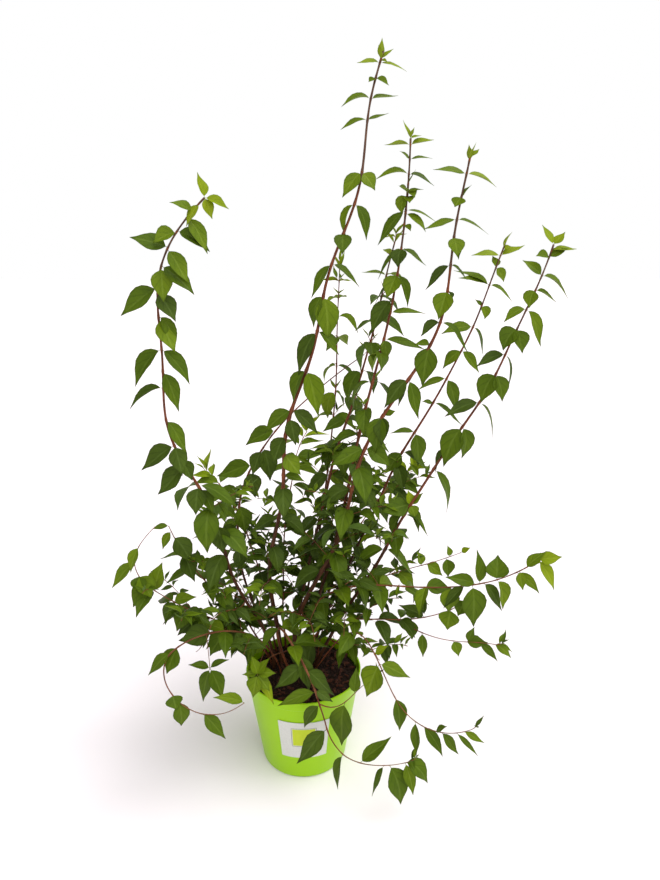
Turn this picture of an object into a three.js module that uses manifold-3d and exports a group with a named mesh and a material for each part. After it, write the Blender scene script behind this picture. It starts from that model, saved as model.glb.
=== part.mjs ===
// A sweet mock orange, about a metre tall, in a lime green nursery pot.
// Red-brown canes rise from the soil and bear opposite leaves that arch and hang by their tips.
// Millimetres, +Z up, origin at the middle of the pot's flat underside. The plant's front looks along -Y.

import * as THREE from "three";
import { mergeVertices } from "three/addons/utils/BufferGeometryUtils.js";
import Module from "manifold-3d";

const wasm = await Module();
wasm.setup();

// The pot
const POT_HEIGHT = 162;
const RIM_RADIUS = 95;
const FOOT_RADIUS = 70;
const FOOT_ROUNDING = 5;
const ROUNDING_STEPS = 2;
const ROUNDING_SWEEP = 72;
const WALL = 1.8;
const RIM_WALL = 2.6;
const RIM_DEPTH = 7;
const RIM_SLOPE = 2;
const FLOOR = 2.4;
const POT_SIDES = 36;
const DRAIN_HOLES = 6;
const DRAIN_RADIUS = 6;
const DRAIN_CIRCLE = 46;
const DRAIN_SIDES = 10;

// The soil in it, flat round the crown. Further out it has lumps and a longer swell, each with its spacing
// along X and Y.
const SOIL_TOP = 148;
const SOIL_LUMP = 3;
const SOIL_RINGS = [80, 68, 50, 28, 0];
const LUMP_SPACING = [30, 37];
const SWELL_SPACING = [70, 48];
const SWELL_SHARE = 0.5;
const LUMPS_START = 12;

// The plain label on the front of the pot
const LABEL_WIDTH = 78;
const LABEL_HEIGHT = 75;
const LABEL_BOTTOM = 47;
const LABEL_THICKNESS = 0.6;
const LABEL_BEARING = -88;
const LABEL_STEPS = 6;

// Neighbouring pieces stay this far apart
const CLEAR = 0.3;

// The crown, where the canes stand in the soil, a little behind and left of the pot's middle
const CROWN = [-10, 32];
const CROWN_RADIUS = 50;

// A stem tapers to this share of its foot's radius, but no thinner than the next size. A limb flares at its
// foot.
const TIP_TAPER = 0.28;
const THINNEST = 0.5;
const FLARE = 1.35;
const FLARE_HEIGHT = 10;
const LIMB_SIDES = 5;
const STEP_LENGTH = 38;

// A three-sided stem is drawn out by this much, so that it is as thick as a round one
const TWIG_SIDES = 3;
const TWIG_GIRTH = 1.35;
const SHORTEST_STEP = 0.01;

// Leaves: from the tip down they grow to their full size over this many pairs. Their widest place and their
// thickness are shares of their length, and a lift or a droop is in degrees.
const PAIRS_TO_FULL = 5;
const YOUNG_LENGTH = 0.5;
const YOUNG_WIDTH = 0.4;
const FULL_WIDTH = 0.6;
const WIDEST_AT = 0.42;
const BLADE_THICKNESS = 0.026;
const YOUNG_LIFT = 74;
const FULL_LIFT = 18;
const YOUNG_DROOP = -46;
const FULL_DROOP = 74;

// A leaf's root starts this share of the stem's radius from its middle, and the stem has a ring this share
// of the spacing below each pair
const ROOT_DEPTH = 0.3;
const RING_BELOW = 0.25;

// Pairs stand closer together at the tip. A stem whose direction has a larger level part than this leans.
const TIP_GAP = 4;
const TIP_INTERNODE = 0.5;
const LEANING = 0.62;

// How far leaves, twigs and the spacing of pairs stray from the rule: degrees, or shares of the size
const STRAY = {
  turn: [-22, 22],
  spread: [38, 84],
  size: [0.82, 1.12],
  lift: [-12, 12],
  droop: [-14, 14],
  roll: [-20, 20],
  reach: [0.6, 1.25],
  spacing: [0.85, 1.15],
};

// Twigs, as shares of the full leaf's length, the share of them that is bare and how steeply they rise.
// A twig's arc has its handles and its tip at these shares of its length, along and up.
const TWIG_LENGTH = 1.9;
const TWIG_LEAF = 0.72;
const TWIG_INTERNODE = 0.72;
const TWIG_BARE = 0.3;
const TWIG_RISE = 38;
const TWIG_ARC = [[0.3, 0.3], [0.62, 0.55], [0.9, 0.5]];
const TWIG_RADIUS = 0.8;
const FIRST_TWIG_PAIR = 4;

// No leaf hangs lower than this above the ground
const LOWEST_LEAF = 8;

const bark = new THREE.MeshStandardMaterial({ color: 0x7a3f2c, roughness: 0.6 });
const leafGreen = new THREE.MeshStandardMaterial({ color: 0x4f7a2a, roughness: 0.5 });
const limePlastic = new THREE.MeshStandardMaterial({ color: 0x8fce2b, roughness: 0.35 });
const darkSoil = new THREE.MeshStandardMaterial({ color: 0x33211a, roughness: 0.95 });
const whitePaper = new THREE.MeshStandardMaterial({ color: 0xe9e8e6, roughness: 0.6 });

// The long canes. Each rises from its foot in the soil along a cubic arc with the handles rise and arch.
// bare is the share of its length that bears no leaves, radius is at its foot, leaf is a full leaf's length,
// internode the distance between full-grown pairs, and twigs the chance that a leaf has a twig over it.
const CANES = [
  { name: "tall", foot: [-38, 30], rise: [-110, 20, 470], arch: [80, 20, 780], tip: [115, 45, 1082],
    bare: 0.2, radius: 3.8, leaf: 50, internode: 48, twigs: 0, seed: 11 },
  { name: "second", foot: [-4, 38], rise: [40, 40, 440], arch: [175, 60, 715], tip: [155, 80, 1000],
    bare: 0.2, radius: 3.4, leaf: 47, internode: 42, twigs: 0.04, seed: 12 },
  { name: "third", foot: [-13, 12], rise: [-10, -15, 435], arch: [240, 5, 665], tip: [235, 20, 957],
    bare: 0.2, radius: 3.8, leaf: 48, internode: 42, twigs: 0, seed: 13 },
  { name: "fourth", foot: [10, 46], rise: [80, 80, 400], arch: [245, 95, 595], tip: [315, 115, 840],
    bare: 0.22, radius: 2.9, leaf: 44, internode: 40, twigs: 0, seed: 14 },
  { name: "fifth", foot: [18, 20], rise: [115, 5, 390], arch: [275, -25, 590], tip: [340, -35, 835],
    bare: 0.24, radius: 3.0, leaf: 47, internode: 37, twigs: 0, seed: 15 },
  { name: "rear", foot: [-18, 54], rise: [0, 95, 395], arch: [105, 105, 610], tip: [145, 125, 840],
    bare: 0.22, radius: 3.2, leaf: 46, internode: 44, twigs: 0.06, seed: 16 },
  { name: "thin", foot: [-14, 68], rise: [30, 160, 360], arch: [65, 165, 580], tip: [60, 185, 800],
    bare: 0.24, radius: 2.3, leaf: 42, internode: 46, twigs: 0.04, seed: 17 },
  { name: "left_arch",
    foot: [-50, 14], rise: [-95, -15, 385], arch: [-280, -135, 675], tip: [-105, -135, 895],
    bare: 0.3, radius: 2.8, leaf: 54, internode: 42, twigs: 0, seed: 18 },
  { name: "crossing", foot: [-48, 44], rise: [-175, 105, 410], arch: [-120, 100, 500], tip: [100, 140, 660],
    bare: 0.26, radius: 2.3, leaf: 44, internode: 44, twigs: 0.05, seed: 19 },
];

// The low shoots that spread over the rim on all sides. fork is a second stem that leaves a shoot at a share
// of its length, and taper stands in for the usual one on a shoot that has an end piece.
const LOW_SHOOTS = [
  { name: "reaching", foot: [2, 26], rise: [-10, 20, 415], arch: [210, -105, 295], tip: [330, -125, 420],
    bare: 0.28, radius: 1.9, leaf: 46, internode: 38, twigs: 0.05, seed: 21 },
  { name: "nodding", foot: [6, 8], rise: [5, 0, 325], arch: [170, -75, 245], tip: [245, -95, 345],
    fork: { at: 0.66, rise: [210, -110, 270], arch: [235, -115, 290], tip: [280, -130, 290] },
    bare: 0.3, radius: 1.5, leaf: 38, internode: 34, twigs: 0.1, seed: 22 },
  { name: "right_upper", foot: [22, 38], rise: [25, 60, 300], arch: [160, 25, 315], tip: [255, 20, 360],
    bare: 0.3, radius: 1.4, leaf: 34, internode: 32, twigs: 0.1, seed: 23 },
  { name: "hanging", foot: [14, 0], rise: [145, -100, 445], arch: [85, -110, 75], tip: [245, -160, 170],
    bare: 0.3, radius: 1.4, leaf: 38, internode: 38, twigs: 0.06, seed: 24 },
  { name: "front", foot: [-22, -8], rise: [-70, -10, 310], arch: [-10, -60, 260], tip: [25, -105, 180],
    bare: 0.35, radius: 1.8, taper: 0.66, leaf: 52, internode: 46, twigs: 0, seed: 25 },
  { name: "left_low", foot: [-38, 2], rise: [-60, -15, 280], arch: [-175, -98, 290], tip: [-193, -114, 258],
    bare: 0.34, radius: 1.5, taper: 0.7, leaf: 42, internode: 36, twigs: 0.1, seed: 27 },
  { name: "left_curl", foot: [-56, 28], rise: [-70, 10, 260], arch: [-335, -85, 325], tip: [-205, -80, 450],
    bare: 0.28, radius: 1.4, leaf: 38, internode: 36, twigs: 0.06, seed: 29 },
  { name: "left_upper", foot: [-60, 44], rise: [-120, 15, 315], arch: [-150, -10, 275], tip: [-195, -45, 435],
    bare: 0.28, radius: 1.6, leaf: 42, internode: 34, twigs: 0.15, seed: 30 },
  { name: "back_left", foot: [-50, 62], rise: [-75, 115, 330], arch: [-150, 190, 420], tip: [-190, 230, 425],
    bare: 0.28, radius: 1.8, leaf: 44, internode: 36, twigs: 0.1, seed: 31 },
  { name: "back", foot: [-34, 70], rise: [-50, 135, 390], arch: [-20, 220, 480], tip: [0, 275, 490],
    bare: 0.28, radius: 1.9, leaf: 44, internode: 36, twigs: 0.1, seed: 32 },
  { name: "back_right", foot: [16, 66], rise: [60, 125, 350], arch: [150, 190, 430], tip: [205, 220, 430],
    bare: 0.28, radius: 1.8, leaf: 44, internode: 36, twigs: 0.1, seed: 33 },
];

// Two shoots bend down at their tips. Each end grows straight on from the shoot that after names, and
// lead is how far it keeps that direction.
const SHOOT_ENDS = [
  { name: "front_end", after: "front", lead: 60, arch: [45, -140, 70], tip: [160, -150, 105],
    fork: { at: 0.04, rise: [65, -120, 160], arch: [75, -100, 190], tip: [110, -90, 205] },
    bare: 0, radius: 1.2, leaf: 50, internode: 44, twigs: 0, seed: 26 },
  { name: "left_end", after: "left_low", lead: 45, arch: [-150, -165, 160], tip: [-80, -140, 200],
    bare: 0, radius: 1.1, leaf: 42, internode: 38, twigs: 0, seed: 28 },
];
const FORK = { radius: 0.9, bare: 0.12, twigs: 0 };

// The small bushy side shoots low on the canes: the cane, the height where each leaves it, its bearing in
// degrees and how far it reaches
const SIDE_SHOOTS = [
  ["left_arch", 215, 205, 110],
  ["left_arch", 290, 245, 95],
  ["tall", 250, 170, 95],
  ["tall", 310, 265, 80],
  ["crossing", 225, 120, 105],
  ["thin", 225, 120, 95],
  ["rear", 285, 95, 85],
  ["fourth", 240, 45, 95],
  ["third", 195, 240, 90],
  ["third", 265, 285, 85],
  ["fifth", 205, 320, 95],
  ["fifth", 265, 265, 75],
];
const SIDE_SHOOT = { radius: 1.1, leaf: 36, internode: 27, bare: 0.12, twigs: 0.12, seed: 41 };

// A side shoot's arc, as shares of its reach: how far it leads straight out, and its second handle and its
// tip, along and up. Its place on the cane is found in steps of a share of the cane's length.
const SIDE_LEAD = 0.35;
const SIDE_ARC = [[0.75, 0.42], [1, 0.08]];
const SEARCH_STEP = 0.0005;

const mix = THREE.MathUtils.lerp;
const radians = THREE.MathUtils.degToRad;
const vector = (place) => new THREE.Vector3(...place);
const UP = vector([0, 0, 1]);
const bearingOf = (direction) => THREE.MathUtils.radToDeg(Math.atan2(direction.y, direction.x));
const levelAt = (bearing) => vector([Math.cos(radians(bearing)), Math.sin(radians(bearing)), 0]);

// A repeatable row of numbers between 0 and 1, from a 32-bit linear congruential rule
function dice(seed) {
  let state = Math.imul(seed, 2654435761) >>> 0;
  return () => {
    state = (Math.imul(state, 1664525) + 1013904223) >>> 0;
    return state / 2 ** 32;
  };
}

const among = ([low, high], draw) => mix(low, high, draw());

// A closed shape as a solid that can be joined and cut
function solidOf(geometry) {
  const plain = geometry.clone();
  plain.deleteAttribute("normal");
  plain.deleteAttribute("uv");
  const closed = mergeVertices(plain, 1e-4);
  const vertProperties = new Float32Array(closed.attributes.position.array);
  const triVerts = new Uint32Array(closed.index.array);
  return new wasm.Manifold(new wasm.Mesh({ numProp: 3, vertProperties, triVerts }));
}

function geometryOf(solid) {
  const { vertProperties, triVerts } = solid.getMesh();
  const geometry = new THREE.BufferGeometry();
  geometry.setAttribute("position", new THREE.BufferAttribute(new Float32Array(vertProperties), 3));
  geometry.setIndex(new THREE.BufferAttribute(new Uint32Array(triVerts), 1));
  geometry.computeVertexNormals();
  return geometry;
}

// An outline of radii and heights, turned about the pot's upright axis
function turnedRound(outline) {
  const points = outline.map(([radius, height]) => new THREE.Vector2(radius, height));
  return new THREE.LatheGeometry(points, POT_SIDES).rotateX(Math.PI / 2);
}

const potRadius = (height) => mix(FOOT_RADIUS, RIM_RADIUS, height / POT_HEIGHT);

function potSolid() {
  const corner = Array.from({ length: ROUNDING_STEPS + 1 }, (_, step) => {
    const angle = radians(ROUNDING_SWEEP * step / ROUNDING_STEPS - 90);
    const across = FOOT_RADIUS - FOOT_ROUNDING + FOOT_ROUNDING * Math.cos(angle);
    return [across, FOOT_ROUNDING + FOOT_ROUNDING * Math.sin(angle)];
  });
  const rimFoot = POT_HEIGHT - RIM_DEPTH;
  const outline = [
    [0, 0],
    ...corner,
    [RIM_RADIUS, POT_HEIGHT],
    [RIM_RADIUS - RIM_WALL, POT_HEIGHT],
    [potRadius(rimFoot) - RIM_WALL, rimFoot],
    [potRadius(rimFoot - RIM_SLOPE) - WALL, rimFoot - RIM_SLOPE],
    [potRadius(FLOOR) - WALL, FLOOR],
    [0, FLOOR],
  ];
  let pot = solidOf(turnedRound(outline));
  for (let i = 0; i < DRAIN_HOLES; i++) {
    const place = levelAt((i + 0.5) * 360 / DRAIN_HOLES).multiplyScalar(DRAIN_CIRCLE);
    const hole = new THREE.CylinderGeometry(DRAIN_RADIUS, DRAIN_RADIUS, 3 * FLOOR, DRAIN_SIDES);
    hole.rotateX(Math.PI / 2).translate(place.x, place.y, 0);
    pot = pot.subtract(solidOf(hole));
  }
  return pot;
}

// How far a lump or a hollow lifts the soil, from nothing at the crown's edge
function soilLift(x, y) {
  const out = Math.hypot(x - CROWN[0], y - CROWN[1]) - CROWN_RADIUS;
  const turn = (place, spacing) => 2 * Math.PI * place / spacing;
  const lump = Math.sin(turn(x, LUMP_SPACING[0])) * Math.cos(turn(y, LUMP_SPACING[1]));
  const swell = Math.sin(turn(x, SWELL_SPACING[0]) - turn(y, SWELL_SPACING[1]));
  return SOIL_LUMP * (lump + SWELL_SHARE * swell) * THREE.MathUtils.clamp(out / LUMPS_START, 0, 1);
}

function soilSolid() {
  const innerRadius = (height) => potRadius(height) - WALL - CLEAR;
  const wallTop = SOIL_TOP - SOIL_LUMP;
  const floor = FLOOR + CLEAR;
  const outline = [
    [0, floor],
    [innerRadius(floor), floor],
    [innerRadius(wallTop), wallTop],
    ...SOIL_RINGS.map((radius) => [radius, SOIL_TOP]),
  ];
  const soil = turnedRound(outline);
  const place = soil.attributes.position;
  for (let i = 0; i < place.count; i++) {
    const onTop = place.getZ(i) > wallTop + CLEAR;
    if (onTop) place.setZ(i, SOIL_TOP + soilLift(place.getX(i), place.getY(i)));
  }
  return solidOf(soil);
}

// A thin sheet bent round the pot's wall
function labelSolid() {
  const plate = new THREE.BoxGeometry(1, 1, 1, LABEL_STEPS, 1, 1);
  const place = plate.attributes.position;
  const middle = LABEL_BOTTOM + LABEL_HEIGHT / 2;
  const sweep = LABEL_WIDTH / potRadius(middle);
  for (let i = 0; i < place.count; i++) {
    const height = middle + place.getY(i) * LABEL_HEIGHT;
    const bearing = radians(LABEL_BEARING) + place.getX(i) * sweep;
    const radius = potRadius(height) + CLEAR + (place.getZ(i) + 0.5) * LABEL_THICKNESS;
    place.setXYZ(i, radius * Math.cos(bearing), radius * Math.sin(bearing), height);
  }
  return solidOf(plate);
}

// A tapering limb along a curve: a closed cylinder whose rings are laid across the curve at the given
// shares of its length. Its flat sides face the way the shoot leans and square to that. A flat foot lies
// level, so that the limb stands square on the soil.
function limbSolid(curve, rings, radiusAt, sides, flatFoot = false) {
  const tube = new THREE.CylinderGeometry(1, 1, 1, sides, rings.length - 1, false, Math.PI / sides);
  const side = curve.getPointAt(1).sub(curve.getPointAt(0)).cross(UP);
  const frames = rings.map((share, ring) => {
    const forward = flatFoot && ring === 0 ? UP : curve.getTangentAt(share);
    side.addScaledVector(forward, -side.dot(forward)).normalize();
    return { middle: curve.getPointAt(share), across: side.clone(), over: side.clone().cross(forward) };
  });
  const place = tube.attributes.position;
  for (let i = 0; i < place.count; i++) {
    const ring = Math.round((place.getY(i) + 0.5) * (rings.length - 1));
    const { middle, across, over } = frames[ring];
    const radius = radiusAt(rings[ring]);
    const point = middle.clone().addScaledVector(across, radius * place.getX(i));
    point.addScaledVector(over, radius * place.getZ(i));
    place.setXYZ(i, point.x, point.y, point.z);
  }
  return solidOf(tube);
}

// A leaf is a ball of six faces whose five corners become its root, its tip, its two margins and its keel.
// It leaves its stem at one pitch and falls at another from its widest place on.
function leafSolid(leaf) {
  const heading = (pitch) => {
    const level = levelAt(leaf.bearing).multiplyScalar(Math.cos(radians(pitch)));
    return level.addScaledVector(UP, Math.sin(radians(pitch)));
  };
  const fall = leaf.lift + leaf.droop;
  const first = heading(leaf.lift - fall * WIDEST_AT / 2);
  const second = heading(leaf.lift - fall * (1 + WIDEST_AT) / 2);
  const across = levelAt(leaf.bearing + 90).applyAxisAngle(first, radians(leaf.roll));
  const face = first.clone().cross(across);
  const root = leaf.base.clone().addScaledVector(first, leaf.start);
  const middle = leaf.base.clone().addScaledVector(first, leaf.length * WIDEST_AT);
  const tip = middle.clone().addScaledVector(second, leaf.length * (1 - WIDEST_AT));
  const keel = middle.clone().addScaledVector(face, -leaf.length * BLADE_THICKNESS);
  const blade = new THREE.SphereGeometry(1, 3, 2);
  const place = blade.attributes.position;
  for (let i = 0; i < place.count; i++) {
    const [up, along, left] = [place.getX(i), place.getY(i), place.getZ(i)];
    let corner = middle.clone().addScaledVector(across, Math.sign(left) * leaf.width / 2);
    if (up < -0.9) corner = keel;
    if (along < -0.9) corner = root;
    if (along > 0.9) corner = tip;
    place.setXYZ(i, corner.x, corner.y, corner.z);
  }
  return solidOf(blade);
}

const shootRadius = (plan, share) => Math.max(THINNEST, plan.radius * mix(1, plan.taper ?? TIP_TAPER, share));

// A twig's own arc: it leaves its stem slantwise and nods at its tip
function twigCurve(base, bearing, length) {
  const steep = Math.tan(radians(TWIG_RISE));
  const arc = TWIG_ARC.map(([along, up]) => (
    base.clone().addScaledVector(levelAt(bearing), along * length).addScaledVector(UP, up * steep * length)
  ));
  return new THREE.CubicBezierCurve3(base, ...arc);
}

const twigPlan = (plan) => ({
  radius: TWIG_RADIUS,
  leaf: plan.leaf * TWIG_LEAF,
  internode: plan.leaf * TWIG_INTERNODE,
  bare: TWIG_BARE,
  twigs: 0,
});

// A stem and what grows on it: pairs of leaves from its tip down, and twigs that stand over some of them.
// An upright stem turns each pair a right angle from the last. One that leans far over holds its leaves
// out at both sides.
function sprout(curve, plan, draw) {
  const length = curve.getLength();
  const facing = bearingOf(curve.getPointAt(1).sub(curve.getPointAt(0)));
  const pairs = [];
  let back = TIP_GAP;
  for (let pair = 0; back < length * (1 - plan.bare) - TIP_GAP; pair++) {
    const age = Math.min(1, pair / PAIRS_TO_FULL);
    const share = 1 - back / length;
    const forward = curve.getTangentAt(share);
    const leaning = Math.hypot(forward.x, forward.y) > LEANING;
    const leaves = [1, -1].map((side) => {
      const crossed = facing + 90 * pair + 90 * (1 - side) + among(STRAY.turn, draw);
      const spread = bearingOf(forward) + side * among(STRAY.spread, draw);
      const size = plan.leaf * mix(YOUNG_LENGTH, 1, age) * among(STRAY.size, draw);
      return {
        bearing: leaning ? spread : crossed,
        length: size,
        width: size * mix(YOUNG_WIDTH, FULL_WIDTH, age),
        lift: mix(YOUNG_LIFT, FULL_LIFT, Math.sqrt(age)) + among(STRAY.lift, draw),
        droop: mix(YOUNG_DROOP, FULL_DROOP, Math.sqrt(age)) + among(STRAY.droop, draw),
        roll: among(STRAY.roll, draw),
        start: ROOT_DEPTH * shootRadius(plan, share),
        bud: draw() < plan.twigs && pair >= FIRST_TWIG_PAIR,
        reach: plan.leaf * TWIG_LENGTH * among(STRAY.reach, draw),
      };
    });
    const spacing = plan.internode * mix(TIP_INTERNODE, 1, age) * among(STRAY.spacing, draw);
    pairs.push({ share, leaves, ring: share - RING_BELOW * spacing / length });
    back += spacing;
  }
  const rings = [...pairs.map(({ ring }) => ring).reverse(), 1];
  pairs.forEach(({ share, ring, leaves }, i) => {
    const above = i ? pairs[i - 1].ring : 1;
    const base = curve.getPointAt(ring).lerp(curve.getPointAt(above), (share - ring) / (above - ring));
    leaves.forEach((leaf) => Object.assign(leaf, { base }));
  });
  const leaves = pairs.flatMap((pair) => pair.leaves);
  const twigs = leaves.filter(({ bud }) => bud).map(({ base, bearing, reach }) => (
    sprout(twigCurve(base, bearing, reach), twigPlan(plan), draw)
  ));
  return { curve, plan, rings, leaves, twigs };
}

// The stem itself, from a share of its length to its tip, with a ring below each pair of leaves
function stemSolid({ curve, plan, rings }, from = 0) {
  const shares = [from, ...rings.filter((share) => share > from + SHORTEST_STEP)];
  return limbSolid(curve, shares, (share) => TWIG_GIRTH * shootRadius(plan, share), TWIG_SIDES);
}

// Everything that stands in its place, by name, with its bounds
const solids = new Map();
const boxes = new Map();

const boundsOf = (solid) => {
  const { min, max } = solid.boundingBox();
  return new THREE.Box3(vector(min), vector(max));
};

function keep(name, solid) {
  solids.set(name, solid);
  boxes.set(name, boundsOf(solid));
}

// The plant is laid out first: each shoot's arc, the limb at its foot and the bare stems of its foliage
const shoots = new Map();

const arcOf = ({ rise, arch, tip }, start) => (
  new THREE.CubicBezierCurve3(start, vector(rise), vector(arch), vector(tip))
);

function layFoliage(plan, curve, from) {
  const draw = dice(plan.seed);
  const sprouts = [sprout(curve, plan, draw)];
  const stems = [stemSolid(sprouts[0], from)];
  if (plan.fork) {
    const branch = arcOf(plan.fork, curve.getPointAt(plan.fork.at));
    sprouts.push(sprout(branch, { ...plan, ...FORK }, draw));
    stems.push(stemSolid(sprouts[1]));
  }
  const shoot = { plan, curve, sprouts, node: `foliage_${plan.name}`, wood: wasm.Manifold.union(stems) };
  shoots.set(plan.name, shoot);
  keep(shoot.node, shoot.wood);
}

// A shoot from the soil has a limb, cut level at its foot, and its foliage starts just clear of the limb
function layShoot(kind, plan) {
  const curve = arcOf(plan, vector([...plan.foot, SOIL_TOP + CLEAR]));
  const length = curve.getLength();
  const flare = (share) => mix(FLARE, 1, Math.min(1, share * length / FLARE_HEIGHT));
  const steps = Math.max(2, Math.round(plan.bare * length / STEP_LENGTH));
  const rings = [0, FLARE_HEIGHT / length];
  for (let i = 1; i <= steps; i++) rings.push(plan.bare * i / steps);
  const radiusAt = (share) => shootRadius(plan, share) * flare(share);
  keep(`${kind}_${plan.name}`, limbSolid(curve, rings, radiusAt, LIMB_SIDES, true));
  layFoliage(plan, curve, plan.bare + CLEAR / length);
}

// A shoot that bends far round is two pieces: the second grows straight on from the tip of the first
function layEnd(plan) {
  const carrier = shoots.get(plan.after).curve;
  const forward = carrier.getTangentAt(1);
  const start = carrier.getPointAt(1).addScaledVector(forward, CLEAR);
  const rise = start.clone().addScaledVector(forward, plan.lead).toArray();
  layFoliage(plan, arcOf({ ...plan, rise }, start), 0);
}

// Where a curve passes a height on its way up
function heightShare(curve, height) {
  let share = 0;
  while (curve.getPointAt(share).z < height) share += SEARCH_STEP;
  return share;
}

// A side shoot leaves its cane squarely, just clear of the bark, climbs a little and nods
function laySideShoot([cane, height, bearing, reach], index) {
  const carrier = shoots.get(cane);
  const share = heightShare(carrier.curve, height);
  const forward = carrier.curve.getTangentAt(share);
  const level = levelAt(bearing);
  const out = level.clone().addScaledVector(forward, -level.dot(forward)).normalize();
  const gap = shootRadius(carrier.plan, share) + CLEAR;
  const start = carrier.curve.getPointAt(share).addScaledVector(out, gap);
  const square = start.clone().addScaledVector(out, SIDE_LEAD * reach);
  const arc = SIDE_ARC.map(([along, up]) => (
    start.clone().addScaledVector(level, along * reach).addScaledVector(UP, up * reach)
  ));
  const plan = { ...SIDE_SHOOT, name: `side_${index + 1}`, seed: SIDE_SHOOT.seed + index };
  layFoliage(plan, new THREE.CubicBezierCurve3(start, square, ...arc), 0);
}

// A leaf or twig is left out where it would touch another piece or hang too low
function isFree(piece, owner) {
  const box = boundsOf(piece);
  if (box.min.z < LOWEST_LEAF) return false;
  return [...solids].every(([name, other]) => (
    name === owner || !box.intersectsBox(boxes.get(name)) || piece.intersect(other).isEmpty()
  ));
}

// Leaves and twigs are joined to their stem, with their roots sunk in it
function dress({ sprouts, node, wood }) {
  const pieces = [wood];
  const add = (piece) => {
    const free = isFree(piece, node);
    if (free) pieces.push(piece);
    return free;
  };
  const grow = ({ leaves, twigs }) => {
    leaves.forEach((leaf) => add(leafSolid(leaf)));
    twigs.filter((twig) => add(stemSolid(twig))).forEach(grow);
  };
  sprouts.forEach(grow);
  keep(node, wasm.Manifold.union(pieces));
}

keep("pot", potSolid());
keep("soil", soilSolid());
keep("label", labelSolid());
CANES.forEach((plan) => layShoot("cane", plan));
LOW_SHOOTS.forEach((plan) => layShoot("shoot", plan));
SHOOT_ENDS.forEach(layEnd);
SIDE_SHOOTS.forEach(laySideShoot);
shoots.forEach(dress);

// A node's name starts with its kind
const finishes = {
  pot: limePlastic,
  soil: darkSoil,
  label: whitePaper,
  cane: bark,
  shoot: bark,
  foliage: leafGreen,
};

const plant = new THREE.Group();
for (const [name, solid] of solids) {
  const [kind] = name.split("_");
  const mesh = new THREE.Mesh(geometryOf(solid), finishes[kind]);
  mesh.name = name;
  plant.add(mesh);
}

export default plant;
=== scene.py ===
"""A sweet mock orange in its lime green nursery pot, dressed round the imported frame.

The canes, shoots, twigs and leaves grow by the rule that the solids follow, and are carried on here to finer
twigs, stalks and bent blades. Sizes are in metres and angles in degrees where nothing else is said, in the
frame's own axes. A pair of sizes is the span that chance picks from.
"""

from __future__ import annotations

import logging
import math
from collections.abc import Iterable, Sequence
from dataclasses import dataclass, field, replace
from enum import Enum
from typing import Any

import bmesh
import bpy
import numpy as np
from mathutils import Matrix, Vector

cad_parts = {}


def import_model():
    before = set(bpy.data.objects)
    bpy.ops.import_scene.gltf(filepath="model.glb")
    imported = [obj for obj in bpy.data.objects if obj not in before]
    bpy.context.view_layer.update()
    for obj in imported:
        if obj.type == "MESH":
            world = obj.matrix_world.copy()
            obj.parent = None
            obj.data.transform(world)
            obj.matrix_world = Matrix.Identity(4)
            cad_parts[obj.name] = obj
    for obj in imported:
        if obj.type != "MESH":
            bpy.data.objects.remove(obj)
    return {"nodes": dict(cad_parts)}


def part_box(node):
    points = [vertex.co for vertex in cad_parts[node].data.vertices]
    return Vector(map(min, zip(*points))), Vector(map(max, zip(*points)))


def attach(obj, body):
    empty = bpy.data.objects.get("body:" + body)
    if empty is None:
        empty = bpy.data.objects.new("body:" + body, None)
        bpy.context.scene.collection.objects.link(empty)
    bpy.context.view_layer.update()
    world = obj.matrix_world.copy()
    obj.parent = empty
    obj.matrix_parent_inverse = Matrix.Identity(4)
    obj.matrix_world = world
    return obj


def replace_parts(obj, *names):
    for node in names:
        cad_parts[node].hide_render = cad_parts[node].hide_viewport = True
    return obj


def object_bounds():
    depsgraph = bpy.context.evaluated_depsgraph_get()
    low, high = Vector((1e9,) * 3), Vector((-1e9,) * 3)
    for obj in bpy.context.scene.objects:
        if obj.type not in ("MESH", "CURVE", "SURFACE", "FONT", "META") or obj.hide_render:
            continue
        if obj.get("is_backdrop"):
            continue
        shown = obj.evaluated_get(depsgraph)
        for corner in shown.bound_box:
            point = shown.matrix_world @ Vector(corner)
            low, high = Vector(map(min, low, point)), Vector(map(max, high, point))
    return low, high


LOG = logging.getLogger("mock_orange")
MM = 0.001
UP = Vector((0, 0, 1))
# Corners that lie closer than this are one corner
MERGE = 1e-6
Span = tuple[float, float]
Triple = tuple[float, float, float]
Feeds = dict[str | int, Any]
Piece = bpy.types.Object
Tree = bpy.types.NodeTree
Node = bpy.types.Node
Socket = bpy.types.NodeSocket
Form = bmesh.types.BMesh
Array = np.ndarray


def linear(hex_code: str) -> tuple[float, float, float, float]:
    """Turns an sRGB hex colour into linear red, green, blue and alpha.

    Args:
        hex_code: Six hex digits, with or without a leading hash.

    Returns:
        The four linear values, with alpha 1.
    """
    digits = hex_code.lstrip("#")
    parts = [int(digits[i:i + 2], 16) / 255 for i in (0, 2, 4)]
    red, green, blue = (c / 12.92 if c <= 0.04045 else ((c + 0.055) / 1.055) ** 2.4 for c in parts)
    return red, green, blue, 1.0


def mix(low: float, high: float, share: float) -> float:
    """Gives the value at a share of the way from low to high."""
    return low + (high - low) * share


def level_at(bearing: float) -> Vector:
    """Gives the level unit vector at a bearing from +X."""
    angle = math.radians(bearing)
    return Vector((math.cos(angle), math.sin(angle), 0))


def bearing_of(direction: Vector) -> float:
    """Gives the bearing from +X that a direction points along."""
    return math.degrees(math.atan2(direction.y, direction.x))


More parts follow.
